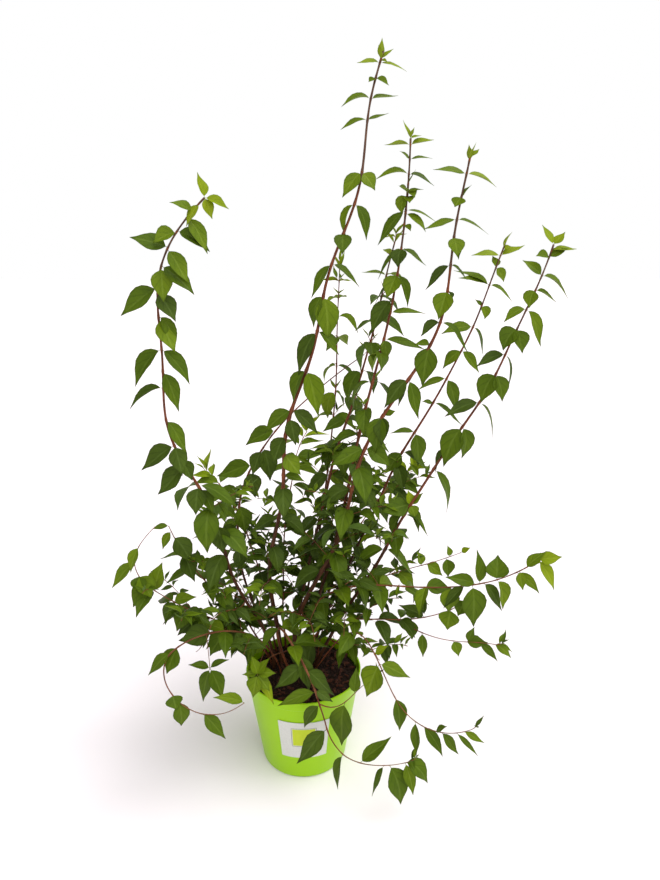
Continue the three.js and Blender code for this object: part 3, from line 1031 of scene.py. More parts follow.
@dataclass(frozen=True)
class Shoot:
    """A cane or a low shoot, with its places and sizes in millimetres.

    rise and arch are the handles of its arc, and bends its own bends along x: half waves, and how wide each
    is. An end piece has no rise but grows on from the shoot named in after, whose direction it keeps as far
    as lead says.
    """

    name: str
    foot: Span
    rise: Triple
    arch: Triple
    tip: Triple
    bare: float
    radius: float
    leaf: float
    internode: float
    twigs: float
    seed: int
    taper: float = 0.35
    bends: tuple[Span, ...] = ()
    fork: Fork | None = None
    after: str = ""
    lead: float = 0.0

    def growth(self) -> Growth:
        """Gives the shoot's growth in metres."""
        sizes = (self.radius * MM, self.leaf * MM, self.internode * MM)
        return Growth(*sizes, self.bare, self.twigs, self.taper)


CANES = (
    Shoot("tall", (-38, 30), (-110, 20, 470), (80, 20, 780), (115, 45, 1082), 0.2, 3.8, 50, 48, 0, 11,
          bends=((8, 5),)),
    Shoot("second", (-4, 38), (40, 40, 440), (175, 60, 715), (159, 80, 980), 0.2, 3.4, 47, 42, 0.04, 12,
          bends=((2, 4),)),
    Shoot("third", (-13, 12), (-10, -15, 435), (240, 5, 665), (235, 20, 957), 0.2, 3.8, 48, 42, 0, 13,
          bends=((5, -9),)),
    Shoot("fourth", (10, 46), (80, 80, 400), (245, 95, 595), (315, 115, 840), 0.22, 2.9, 44, 40, 0, 14),
    Shoot("fifth", (18, 20), (115, 5, 390), (275, -25, 590), (340, -35, 835), 0.24, 3.0, 47, 37, 0, 15),
    Shoot("rear", (-18, 54), (0, 95, 395), (105, 105, 610), (145, 125, 840), 0.22, 3.2, 46, 44, 0.06, 16),
    Shoot("thin", (-14, 68), (30, 160, 360), (65, 165, 580), (60, 185, 800), 0.24, 2.3, 42, 46, 0.04, 17),
    Shoot("left_arch", (-50, 14), (-95, -15, 385), (-280, -135, 675), (-101, -135, 887), 0.3, 2.8,
          54, 42, 0, 18,
          bends=((1, 5), (6, 7))),
    Shoot("crossing", (-48, 44), (-175, 105, 410), (-120, 100, 500), (100, 140, 660), 0.26, 2.3,
          44, 44, 0.05, 19),
)

LOW_SHOOTS = (
    Shoot("reaching", (2, 26), (-10, 20, 415), (210, -105, 295), (330, -125, 420), 0.28, 1.9, 46,
          38, 0.05, 21),
    Shoot("nodding", (6, 8), (5, 0, 325), (170, -75, 245), (245, -95, 345), 0.3, 1.5, 38, 34, 0.1, 22,
          fork=Fork(0.66, (210, -110, 270), (235, -115, 290), (280, -130, 290))),
    Shoot("right_upper", (22, 38), (25, 60, 300), (160, 25, 315), (255, 20, 360), 0.3, 1.4, 34, 32, 0.1, 23),
    Shoot("hanging", (14, 0), (145, -100, 445), (85, -110, 75), (245, -160, 170), 0.3, 1.4, 38, 38,
          0.06, 24),
    Shoot("front", (-22, -8), (-70, -10, 310), (-10, -60, 260), (25, -105, 180), 0.35, 2.3, 52, 46, 0, 25,
          taper=0.55),
    Shoot("left_low", (-38, 2), (-60, -15, 280), (-175, -98, 290), (-193, -114, 258), 0.34, 1.5,
          42, 36, 0.1, 27,
          taper=0.7),
    Shoot("left_curl", (-56, 28), (-70, 10, 260), (-335, -85, 325), (-205, -80, 450), 0.28, 1.4,
          38, 36, 0.06, 29),
    Shoot("left_upper", (-60, 44), (-120, 15, 315), (-150, -10, 275), (-195, -45, 435), 0.28, 1.6,
          42, 34, 0.15, 30),
    Shoot("back_left", (-50, 62), (-75, 115, 330), (-150, 190, 420), (-190, 230, 425), 0.28, 1.8,
          44, 36, 0.1, 31),
    Shoot("back", (-34, 70), (-50, 135, 390), (-20, 220, 480), (0, 275, 490), 0.28, 1.9, 44, 36, 0.1, 32),
    Shoot("back_right", (16, 66), (60, 125, 350), (150, 190, 430), (205, 220, 430), 0.28, 1.8, 44,
          36, 0.1, 33),
)

SHOOT_ENDS = (
    Shoot("front_end", (0, 0), (0, 0, 0), (45, -140, 70), (160, -150, 105), 0, 1.2, 50, 44, 0, 26,
          fork=Fork(0.04, (65, -120, 160), (75, -100, 190), (110, -90, 205)), after="front", lead=60),
    Shoot("left_end", (0, 0), (0, 0, 0), (-150, -165, 160), (-80, -140, 200), 0, 1.1, 42, 38, 0, 28,
          after="left_low", lead=45),
)

# The cane, the height where a side shoot leaves it, its bearing in degrees and how far it reaches
SIDE_SHOOTS = (
    ("left_arch", 215, 205, 110),
    ("left_arch", 290, 245, 95),
    ("tall", 250, 170, 95),
    ("tall", 310, 265, 80),
    ("crossing", 225, 120, 105),
    ("thin", 225, 120, 95),
    ("rear", 285, 95, 85),
    ("fourth", 240, 45, 95),
    ("third", 195, 240, 90),
    ("third", 265, 285, 85),
    ("fifth", 205, 320, 95),
    ("fifth", 265, 265, 75),
)
SIDE_GROWTH = Growth(radius=1.1 * MM, leaf=36 * MM, internode=27 * MM, bare=0.12, twigs=0.12)
SIDE_SEED = 41
# How far a side shoot goes straight out, and its second handle and tip, out and up, as shares of its reach
SIDE_LEAD = 0.35
SIDE_ARC = ((0.75, 0.42), (1, 0.08))
# A twig's handles and tip, out as shares of its length and up as shares of what its rise would give
TWIG_ARC = ((0.3, 0.3), (0.62, 0.55), (0.9, 0.5))
FIRST_FOLIAGE_SEED = 60


@dataclass
class Leaf:
    """One leaf on its stem.

    age is 0 as it unfolds and 1 when full grown, and posed says that its roll isn't left to chance.
    """

    base: Vector
    bearing: float
    length: float
    width: float
    lift: float
    droop: float
    roll: float
    age: float
    tone: Tone | None = None
    posed: bool = False


@dataclass(frozen=True)
class SeenLeaf:
    """A leaf that the photograph shows plainly, with its sizes in millimetres.

    share is where it grows on its stem, reach goes from its base to its tip, and arch is how far it bends
    over to either side of that line.
    """

    share: float
    reach: Triple
    width: float
    arch: float
    roll: float
    tone: Tone

    def leaf(self, arc: Arc) -> Leaf:
        """Makes the leaf on its stem's line.

        Args:
            arc: The stem's line.

        Returns:
            The leaf.
        """
        reach = Vector(self.reach) * MM
        chord = math.degrees(math.atan2(reach.z, math.hypot(reach.x, reach.y)))
        lift = (chord + self.arch) / Foliage.lift_share
        fall = 2 * self.arch / (sum(Foliage.fall_share) / 2)
        length = reach.length / Foliage.longer
        return Leaf(base=arc.place(self.share), bearing=bearing_of(reach), length=length,
                    width=self.width * MM, lift=lift, droop=fall - lift, roll=self.roll, age=1,
                    tone=self.tone, posed=True)


@dataclass(frozen=True)
class SeenTwig:
    """A bare twig that carries some of the plainly seen leaves at its tip, with its reach in millimetres."""

    name: str
    stem: str
    share: float
    reach: Triple
    arching: float = 0.12
    handles: Span = (0.3, 0.7)

    def arc(self, carrier: Arc) -> Arc:
        """Draws the twig's line.

        Args:
            carrier: The line of the stem that it grows from.

        Returns:
            The line.
        """
        base = carrier.place(self.share)
        reach = Vector(self.reach) * MM
        rise = UP * (self.arching * reach.length)
        return Arc(base, *(base + reach * share + rise for share in self.handles), base + reach)


DEEP, MID, BRIGHT, FRESH = Tone
SEEN_TWIGS = (
    SeenTwig("star", "left_low", 0.25, (-7, -78, 3)),
    SeenTwig("hanging_pair", "left_low", 0.74, (4, -8, -54)),
)

# The leaves that the photograph shows plainly, judged one by one: their share of the stem's length, and for
# each its reach in x, y and z, width, arch, roll and green, as in SeenLeaf.
# The greens of these leaves follow how lit or shaded each looks: painted light and painted shade besides
# their own greens
SEEN_LEAVES = {
    "nodding": (
        (0.19, (-17, -25, -57, 25, 18, 5, DEEP)), (0.78, (-40, -6, 26, 20, 12, -35, DEEP)),
        (0.72, (2, -10, -30, 20, 12, 20, MID), (4, 6, 20, 18, 12, 0, MID)),
        (0.9, (-8, -14, -26, 30, 18, 5, BRIGHT)), (0.98, (-14, -8, -20, 24, 14, -20, MID)),
        (1, (14, -4, 14, 12, 8, 20, FRESH)),
    ),
    "front": (
        (0.6, (30, -14, -52, 27, 14, 15, DEEP)), (0.71, (20, -16, -54, 26, 14, 8, DEEP)),
        (0.81, (43, -2, -46, 30, 15, 10, DEEP)), (0.78, (-47, -10, -31, 25, 10, -30, DEEP)),
        (0.96, (-59, -12, -8, 21, 15, -32, MID)), (0.95, (27, -8, -13, 15, 10, 20, DEEP)),
    ),
    "front_end": (
        (0.05, (-32, -10, -27, 21, 18, -30, DEEP)), (0.24, (-44, -12, -54, 28, 16, -34, DEEP)),
        (0.47, (-17, -15, -57, 24, 12, 35, MID)), (0.62, (45, 5, 44, 22, 10, 28, MID)),
        (0.8, (-20, -15, -43, 19, 12, 35, MID)), (0.84, (20, -15, -60, 33, 38, 10, MID)),
        (0.97, (43, -10, -22, 26, 44, 15, MID), (12, -20, -41, 18, 18, 40, BRIGHT)),
    ),
    "front_end_fork": (
        (0.43, (-16, -22, -70, 37, 22, -5, MID)), (0.62, (3, 8, 41, 19, 5, 5, MID)),
    ),
    "hanging": (
        (0.54, (-21, -15, -46, 40, 20, 5, BRIGHT), (47, -10, -12, 21, 14, 25, BRIGHT)),
        (0.5, (18, -6, 20, 14, 5, 20, FRESH)), (0.67, (13, -15, -51, 24, 22, 5, MID)),
        (0.78, (3, -12, -52, 17, 20, 40, MID)), (0.81, (36, -10, -44, 17, 20, 40, MID)),
        (0.88, (30, -5, -33, 15, 15, 40, MID)), (0.86, (14, -8, 16, 13, 10, 10, MID)),
        (0.97, (30, -5, -16, 10, 25, 40, BRIGHT)), (0.94, (34, -5, -36, 8, 5, 40, MID)),
    ),
    "left_low": (
        (0.25, (-44, -10, 0, 20, 10, -40, BRIGHT)), (0.42, (-38, -10, -20, 18, 12, -35, BRIGHT)),
        (0.7, (-51, -10, 2, 33, 15, -40, DEEP)), (0.92, (-18, -14, -36, 30, 15, -8, MID)),
        (0.97, (-40, -8, -27, 19, 14, -30, MID)), (0.6, (-30, -14, -34, 32, 15, -25, MID)),
        (0.55, (24, -14, -38, 26, 15, 10, DEEP)),
    ),
    "left_end": (
        (0.33, (9, -16, -13, 24, 8, 0, MID)), (0.4, (12, -14, -38, 24, 25, 8, MID)),
        (0.63, (37, -10, -32, 20, 14, 22, MID)), (1, (-42, -6, 20, 17, 15, -30, BRIGHT)),
    ),
    "left_curl": (
        (0.42, (-44, -12, -28, 33, 15, -20, DEEP)), (0.5, (-20, -16, -30, 30, 15, -10, MID)),
        (0.57, (36, -8, 19, 20, 12, 28, BRIGHT)), (0.66, (7, 8, 44, 28, 8, 10, BRIGHT)),
        (0.7, (-26, -14, -26, 30, 14, -20, MID)),
        (0.76, (21, -12, -31, 30, 15, 10, BRIGHT), (3, -16, -22, 24, 12, 0, MID)),
        (0.83, (-38, -8, -37, 20, 8, -30, BRIGHT)), (0.9, (-16, -14, -34, 19, 12, -15, BRIGHT)),
    ),
    "left_upper": (
        (1, (-24, -6, 3, 10, 12, -20, MID)), (0.97, (-16, -10, -24, 15, 10, -10, BRIGHT)),
        (0.94, (28, -12, -38, 30, 14, 12, DEEP)), (0.84, (24, -14, -40, 30, 14, 5, DEEP)),
    ),
    "left_arch": (
        (1, (-8, 4, 24, 12, 5, 0, FRESH), (26, -4, -8, 12, 12, 20, FRESH), (9, -8, -20, 9, 8, 10, FRESH)),
        (0.99, (-14, -8, -22, 13, 8, -10, FRESH)), (0.978, (-22, -6, 8, 12, 10, -30, BRIGHT)),
        (0.966, (26, -10, -32, 16, 15, 15, BRIGHT)), (0.942, (37, -8, -15, 19, 14, 25, MID)),
        (0.94, (-24, -10, -8, 20, 14, -30, BRIGHT)), (0.915, (-36, -6, 14, 19, 8, -35, MID)),
        (0.912, (22, -10, -35, 18, 18, 15, BRIGHT)), (0.885, (36, -10, -28, 19, 14, 20, MID)),
        (0.882, (4, -14, -34, 21, 18, 0, BRIGHT)), (0.85, (-40, -8, -28, 24, 14, -30, MID)),
        (0.842, (21, -10, -28, 21, 14, 12, DEEP)), (0.8, (18, -12, -35, 22, 12, 8, BRIGHT)),
        (0.804, (31, -4, -26, 13, 28, 45, MID)),
        (0.75, (-37, -8, -36, 24, 20, -25, MID), (31, -8, -38, 18, 18, 20, MID)),
        (0.712, (19, -8, -44, 17, 14, 25, MID)), (0.682, (-43, -4, -22, 17, 45, -5, DEEP)),
        (0.622, (28, -6, -37, 16, 18, 25, MID)),
        (0.57, (-42, -8, -26, 26, 12, -32, DEEP), (10, -12, -34, 20, 14, 8, DEEP)),
        (0.54, (14, -8, -24, 17, 10, 10, DEEP)), (0.525, (-35, -8, -34, 27, 12, -28, DEEP)),
        (0.48, (-4, -16, -32, 24, 14, -4, DEEP)), (0.475, (19, -10, -30, 15, 20, 20, MID)),
        (0.39, (10, -14, -34, 26, 14, 12, DEEP)),
    ),
    "reaching": (
        (0.74, (-6, -14, -36, 28, 20, -10, BRIGHT)), (0.78, (-31, -8, -32, 18, 15, 0, DEEP)),
        (0.8, (5, -18, -60, 36, 15, -5, MID)), (0.81, (-44, -6, 21, 19, 14, -35, MID)),
        (0.82, (-3, 8, 50, 20, 6, 0, MID)), (0.83, (36, -8, -36, 19, 28, 30, DEEP)),
        (0.87, (2, 10, 34, 32, 15, 0, MID), (20, -10, -41, 27, 25, 5, BRIGHT)),
        (0.93, (40, -8, -20, 15, 14, 40, BRIGHT)), (0.94, (5, -12, -24, 14, 10, 30, BRIGHT)),
        (0.96, (23, -4, 27, 17, 10, 20, BRIGHT)),
        (1, (29, -8, 10, 19, 8, 30, FRESH), (25, -12, -39, 20, 10, 20, FRESH)),
        (0.98, (12, 2, 16, 14, 8, 20, FRESH)),
        (0.66, (-6, -14, -46, 26, 28, 35, DEEP), (38, -6, 10, 24, 20, 20, MID)),
    ),
    "nodding_fork": (
        (0.28, (4, -10, -38, 15, 14, 35, MID)), (0.6, (8, -12, -18, 18, 12, 10, BRIGHT)),
        (0.72, (30, -8, 6, 20, 10, 30, MID)), (0.74, (8, 2, 24, 12, 8, 30, MID)),
        (0.84, (30, -8, -24, 12, 20, 40, MID)), (0.98, (30, -6, -12, 12, 20, 35, BRIGHT)),
    ),
    "right_upper": (
        (0.68, (36, -8, -16, 24, 20, 25, BRIGHT)), (0.8, (-6, 4, 24, 20, 10, 0, BRIGHT)),
        (0.82, (30, -6, -14, 20, 18, 30, BRIGHT)), (0.92, (4, -10, -30, 24, 14, 5, MID)),
        (0.94, (-4, 4, 18, 13, 8, 0, BRIGHT)), (1, (14, -4, 10, 11, 8, 30, FRESH)),
    ),
    "hanging_pair": (
        (1, (-17, -12, -52, 24, 10, -5, MID), (20, -12, -46, 26, 14, 15, MID),
         (-31, -6, 12, 16, 22, 0, MID), (29, 6, 13, 13, 22, 0, MID)),
    ),
    "star": (
        (1, (-9, 6, 30, 19, 5, 0, BRIGHT), (16, 6, 27, 18, 5, 0, BRIGHT)),
        (0.97, (28, -8, 8, 16, 8, 30, BRIGHT)),
        (1, (19, -12, -20, 18, 8, 20, BRIGHT), (-8, -16, -29, 26, 12, 0, BRIGHT)),
        (0.97, (-23, -6, 3, 11, 8, -30, BRIGHT)), (0.95, (27, -14, -46, 16, 10, 20, FRESH)),
    ),
    "tall": (
        (0.99, (1, -4, 21, 6, 5, 0, FRESH), (14, 2, 12, 5, 5, 15, FRESH)),
        (0.988, (-4, -3, 15, 5, 5, 0, FRESH), (8, -4, -2, 4, 5, 15, FRESH)),
        (0.985, (-27, -4, 3, 13, 14, -12, FRESH), (33, 4, -5, 12, 16, 10, FRESH)),
        (0.965, (-9, -3, -3, 9, 15, -15, BRIGHT), (16, -6, -8, 11, 18, 20, BRIGHT)),
        (0.938, (-38, -8, 1, 15, 32, -4, BRIGHT), (33, 6, 5, 14, 12, 4, BRIGHT)),
        (0.91, (-34, -6, -6, 13, 20, -4, BRIGHT), (26, 5, 8, 12, 8, 8, BRIGHT)),
        (0.838, (-28, -8, -25, 18, 14, -34, BRIGHT), (19, -6, -18, 19, 12, 32, BRIGHT)),
        (0.794, (-30, 4, -32, 17, 28, -18, BRIGHT), (16, -8, -44, 15, 35, 12, MID)),
        (0.75, (-2, -24, -20, 20, 30, 0, MID), (9, 6, -8, 11, 30, 0, MID)),
        (0.705, (-29, -8, -40, 15, 28, -10, MID), (40, 6, -25, 17, 24, 14, MID)),
        (0.657, (-27, -10, -33, 20, 34, -18, MID), (14, -16, -54, 30, 16, 14, BRIGHT)),
        (0.602, (-34, -6, -52, 24, 18, -28, DEEP), (34, -6, -24, 15, 16, 10, MID)),
        (0.54, (-22, -8, -42, 23, 42, -8, MID), (15, -16, -58, 30, 18, 14, BRIGHT)),
        (0.474, (-39, -6, -26, 22, 14, -34, MID), (37, -6, -29, 20, 16, 26, DEEP)),
        (0.46, (12, -14, -32, 19, 14, 12, DEEP)), (0.43, (-20, -12, -34, 25, 16, -14, DEEP)),
        (0.398, (21, -8, -28, 24, 12, 26, BRIGHT)), (0.36, (30, -5, -4, 13, 18, 10, MID)),
    ),
    "second": (
        (1, (-11, 3, 21, 5, 5, -15, FRESH), (14, 3, 4, 5, 8, 10, FRESH), (4, -4, 12, 5, 5, 0, FRESH)),
        (0.99, (-33, -4, 0, 14, 15, -4, FRESH), (30, 4, 6, 13, 5, 4, FRESH)),
        (0.967, (-13, -4, 10, 12, 5, -22, BRIGHT), (28, -4, 2, 13, 12, 6, BRIGHT)),
        (0.943, (-44, -6, 7, 16, 25, -4, BRIGHT), (36, 6, -5, 14, 20, 4, MID)),
        (0.927, (8, -4, 18, 12, 5, 10, BRIGHT)),
        (0.914, (-12, -6, 8, 18, 10, -14, BRIGHT), (9, -8, -6, 18, 12, 10, BRIGHT),
         (20, 2, 6, 8, 10, 10, BRIGHT)),
        (0.908, (-18, -6, -16, 16, 40, -18, BRIGHT), (2, -14, -9, 12, 20, 0, BRIGHT)),
        (0.885, (-37, -6, -42, 17, 24, -16, MID), (48, 6, -10, 13, 22, 2, BRIGHT)),
        (0.88, (29, -8, -20, 12, 20, 14, BRIGHT)), (0.861, (9, -6, -6, 10, 15, 10, BRIGHT)),
        (0.821, (-8, -16, -20, 20, 30, 0, DEEP), (-36, 6, -33, 13, 14, -10, MID),
         (36, -6, -14, 14, 18, 6, MID)),
        (0.778, (-15, -14, -30, 24, 14, -12, BRIGHT), (17, -4, -42, 15, 26, 22, MID)),
        (0.77, (-36, 6, -31, 13, 24, -4, DEEP)), (0.734, (-35, -8, -40, 27, 18, -24, DEEP)),
        (0.711, (47, -5, 3, 15, 14, 8, BRIGHT)),
        (0.664, (55, -6, -11, 15, 10, 8, MID), (5, -10, -26, 14, 14, 10, MID)),
    ),
    "third": (
        (0.985, (6, -4, 19, 10, 5, 0, FRESH), (-2, -3, 17, 5, 5, 0, FRESH)),
        (0.99, (11, 3, 9, 7, 5, 10, FRESH)),
        (0.965, (-41, -5, 5, 17, 10, -16, BRIGHT), (40, 5, -8, 15, 14, 8, FRESH)),
        (0.93, (-9, -8, -12, 16, 10, -8, BRIGHT), (10, -4, 14, 15, 5, 15, BRIGHT)),
        (0.895, (-41, -6, -12, 15, 24, -4, BRIGHT), (44, 6, -6, 15, 18, 5, BRIGHT)),
        (0.868, (4, -14, -22, 20, 14, 0, BRIGHT), (8, -4, -26, 11, 16, 40, MID)),
        (0.823, (-31, -6, -30, 14, 25, -14, DEEP), (26, 8, -16, 12, 20, 5, MID)),
        (0.78, (-13, -14, -33, 26, 14, -10, BRIGHT), (8, 6, -10, 11, 20, 10, MID)),
        (0.725, (-28, -8, -13, 15, 40, -10, DEEP), (48, 4, -30, 16, 30, 8, MID)),
        (0.685, (-14, -15, -49, 28, 14, -10, MID), (-20, 4, 2, 13, 15, -15, BRIGHT)),
        (0.622, (-35, -8, -32, 22, 22, -30, DEEP), (-14, 4, -36, 16, 14, -20, MID),
         (16, -8, -50, 17, 14, 22, MID)),
        (0.552, (-17, -14, -46, 30, 16, -14, MID), (-2, -16, -36, 22, 16, 20, DEEP),
         (16, 6, 8, 11, 10, 15, BRIGHT)),
        (0.487, (36, -8, -20, 24, 16, 30, MID), (-46, -8, -23, 22, 15, -28, MID)),
    ),
    "fourth": (
        (0.985, (7, -4, 22, 9, 5, 10, FRESH), (9, -3, 3, 8, 5, 20, FRESH)),
        (0.97, (-40, -4, 5, 15, 10, -10, FRESH), (34, 4, 11, 14, 5, 14, FRESH)),
        (0.945, (-4, 4, 16, 13, 8, 0, BRIGHT), (14, -6, -17, 14, 20, 32, BRIGHT)),
        (0.908, (-42, -6, 17, 15, 12, -18, BRIGHT), (-46, 6, 26, 14, 18, -14, BRIGHT),
         (41, 6, -10, 15, 20, 5, BRIGHT)),
        (0.863, (-9, 4, 9, 7, 8, -10, MID), (10, -8, -15, 14, 30, 20, BRIGHT)),
        (0.818, (30, 5, -35, 15, 28, 6, MID), (-46, -6, -2, 18, 12, -28, BRIGHT)),
        (0.765, (-26, -6, -26, 17, 32, -20, BRIGHT), (26, -6, -30, 16, 15, 26, BRIGHT)),
        (0.7, (-44, 6, -12, 15, 20, -12, BRIGHT), (20, -8, -44, 19, 15, 24, MID)),
        (0.642, (-16, -4, 4, 7, 10, -10, MID), (49, 4, -29, 13, 25, 4, MID)),
        (0.57, (-36, -4, 6, 13, 16, -4, MID), (11, -10, -49, 25, 20, 14, MID)),
        (0.52, (46, -5, -18, 17, 25, 10, DEEP), (-26, -10, -28, 22, 16, -20, MID)),
    ),
    "fifth": (
        (1, (-14, 3, 22, 12, 5, -15, FRESH), (13, 3, 14, 9, 5, 20, FRESH)),
        (0.99, (28, -3, 2, 10, 8, 4, FRESH)),
        (0.978, (20, -3, 11, 12, 5, 24, BRIGHT), (-17, -5, 4, 13, 20, -28, BRIGHT)),
        (0.945, (-21, 4, 20, 14, 8, -28, BRIGHT), (41, 5, -19, 16, 22, 12, BRIGHT)),
        (0.918, (-15, -8, -15, 17, 35, -24, BRIGHT), (27, 4, -16, 12, 28, 4, BRIGHT)),
        (0.883, (-31, -5, -8, 14, 40, -4, BRIGHT), (28, -6, -40, 17, 28, 24, BRIGHT)),
        (0.846, (-22, -10, -22, 25, 40, -24, MID), (6, -14, -27, 21, 20, 10, MID)),
        (0.795, (-38, -6, -9, 15, 25, -12, DEEP), (14, 4, -44, 13, 35, 10, MID)),
        (0.755, (-28, -8, -28, 26, 25, -32, MID), (11, -13, -31, 20, 15, 14, MID)),
        (0.694, (-46, -6, -11, 18, 16, -14, DEEP), (31, 5, -49, 15, 28, 4, MID)),
        (0.638, (-27, -10, -49, 30, 25, -24, MID), (13, -10, -41, 22, 38, 12, MID)),
        (0.585, (-22, 8, -30, 16, 25, -14, DEEP)), (0.537, (29, -6, -60, 17, 35, 12, MID)),
        (0.446, (-4, 4, 20, 13, 5, 0, FRESH), (16, 4, 17, 10, 5, 15, BRIGHT),
         (-40, -8, -5, 26, 15, -38, MID), (8, -8, -15, 14, 12, 20, BRIGHT)),
        (0.44, (24, -6, -30, 14, 25, 20, MID)),
    ),
    "crossing": (
        (0.69, (-48, -6, -12, 27, 14, -38, MID)), (0.63, (12, -15, -47, 29, 16, 12, DEEP)),
        (0.62, (-14, -14, -34, 22, 16, -10, DEEP)), (0.57, (-53, -6, -12, 28, 14, -38, MID)),
        (0.55, (10, -12, -36, 26, 16, 12, DEEP)), (0.485, (-43, -6, 3, 25, 12, -40, MID)),
        (0.45, (14, -12, -40, 27, 16, 16, MID)),
    ),
}

# The shares of these stems above which the rule's leaves and twigs give way to the seen leaves
GIVES_WAY = {
    "front": 0.7,
    "front_end": 0.0,
    "front_end_fork": 0.0,
    "hanging": 0.42,
    "left_low": 0.7,
    "left_end": 0.0,
    "tall": 0.34,
    "second": 0.64,
    "third": 0.46,
    "fourth": 0.5,
    "fifth": 0.43,
    "left_arch": 0.5,
    "crossing": 0.44,
    "reaching": 0.7,
    "nodding": 0.68,
    "nodding_fork": 0.0,
    "right_upper": 0.66,
    "left_curl": 0.72,
    "left_upper": 0.86,
    "side_9": 0.15,
}
# Stems that end without the rule's bud, besides those with a seen leaf at their very tip
BUDLESS = ("left_curl", "tall", "third", "fourth", "side_9")


@dataclass
class Stem:
    """A stem with its leaves and twigs.

    order is 0 for a cane, 1 for a low shoot, 2 for a side shoot and 3 for a twig. A rooted stem stands in
    the soil on a flared foot.
    """

    arc: Arc
    growth: Growth
    pairs: list[float]
    leaves: list[Leaf]
    twigs: list[Stem]
    order: int
    rooted: bool = False

    def every(self) -> Iterable[Stem]:
        """Gives the stem and all that grows from it."""
        yield self
        for twig in self.twigs:
            yield from twig.every()


@dataclass
class Grower:
    """The rule by which stems sprout: pairs of leaves from the tip down, and twigs over some of them.

    widths, lifts and droops go from an unfolding leaf to a full one.
    """

    tip_gap: float = 4 * MM
    pairs_to_full: int = 5
    young: float = 0.5
    leaning: float = 0.62
    first_twig_pair: int = 4
    turn: Span = (-22, 22)
    spread: Span = (38, 84)
    size: Span = (0.82, 1.12)
    widths: Span = (0.4, 0.6)
    lifts: Span = (74, 18)
    lift: Span = (-12, 12)
    droops: Span = (-46, 74)
    droop: Span = (-14, 14)
    roll: Span = (-20, 20)
    reach: Span = (0.6, 1.25)
    spacing: Span = (0.85, 1.15)
    twig_length: float = 1.9
    twig_radius: float = 0.8 * MM
    twig_leaf: float = 0.72
    twig_bare: float = 0.3
    twig_rise: float = 38

    def sprout(self, arc: Arc, growth: Growth, dice: Dice, order: int) -> Stem:
        """Grows a stem along an arc.

        Args:
            arc: The line that the stem follows.
            growth: How it grows.
            dice: The shoot's own row of chances.
            order: The stem's order.

        Returns:
            The stem, with its leaves and twigs.
        """
        facing = bearing_of(arc.place(1) - arc.place(0))
        pairs: list[float] = []
        leaves: list[Leaf] = []
        buds: list[tuple[Leaf, float]] = []
        back = self.tip_gap
        while back < arc.length * (1 - growth.bare) - self.tip_gap:
            pair = len(pairs)
            age = min(1, pair / self.pairs_to_full)
            share = 1 - back / arc.length
            for side in (1, -1):
                leaf, bud, reach = self.leaf(arc, growth, dice, pair, side, share, age, facing)
                leaves.append(leaf)
                if bud:
                    buds.append((leaf, reach))
            pairs.append(share)
            back += growth.internode * mix(self.young, 1, age) * dice.among(self.spacing)
        twigs = [self.twig(leaf, reach, growth, dice) for leaf, reach in buds]
        return Stem(arc, growth, pairs, leaves, twigs, order)

    def leaf(self, arc: Arc, growth: Growth, dice: Dice, pair: int, side: int, share: float, age: float,
             facing: float) -> tuple[Leaf, bool, float]:
        """Draws one leaf of a pair.

        Args:
            arc: The stem's line.
            growth: How it grows.
            dice: The row of chances.
            pair: The pair's number from the tip.
            side: 1 or -1.
            share, age: Where the pair stands, and how full grown it is.
            facing: Where the stem leans to.

        Returns:
            The leaf, whether a twig grows over it, and how long that twig is.
        """
        forward = arc.heading(share)
        crossed = facing + 90 * pair + 90 * (1 - side) + dice.among(self.turn)
        spread = bearing_of(forward) + side * dice.among(self.spread)
        size = growth.leaf * mix(self.young, 1, age) * dice.among(self.size)
        leans = math.hypot(forward.x, forward.y) > self.leaning
        leaf = Leaf(
            base=arc.place(share),
            bearing=spread if leans else crossed,
            length=size,
            width=size * mix(*self.widths, age),
            lift=mix(*self.lifts, math.sqrt(age)) + dice.among(self.lift),
            droop=mix(*self.droops, math.sqrt(age)) + dice.among(self.droop),
            roll=dice.among(self.roll),
            age=age,
        )
        bud = dice.draw() < growth.twigs and pair >= self.first_twig_pair
        return leaf, bud, growth.leaf * self.twig_length * dice.among(self.reach)

    def twig(self, leaf: Leaf, reach: float, growth: Growth, dice: Dice) -> Stem:
        """Grows a twig over a leaf: it leaves the stem slantwise and nods at its tip."""
        size = growth.leaf * self.twig_leaf
        plan = Growth(self.twig_radius, size, size, self.twig_bare)
        return self.sprout(twig_arc(leaf.base, leaf.bearing, reach, self.twig_rise), plan, dice, 3)


def twig_arc(base: Vector, bearing: float, length: float, rise: float) -> Arc:
    """Draws a twig's own arc."""
    steep = math.tan(math.radians(rise))
    return Arc(base, *(base + level_at(bearing) * (along * length) + UP * (up * steep * length)
                       for along, up in TWIG_ARC))


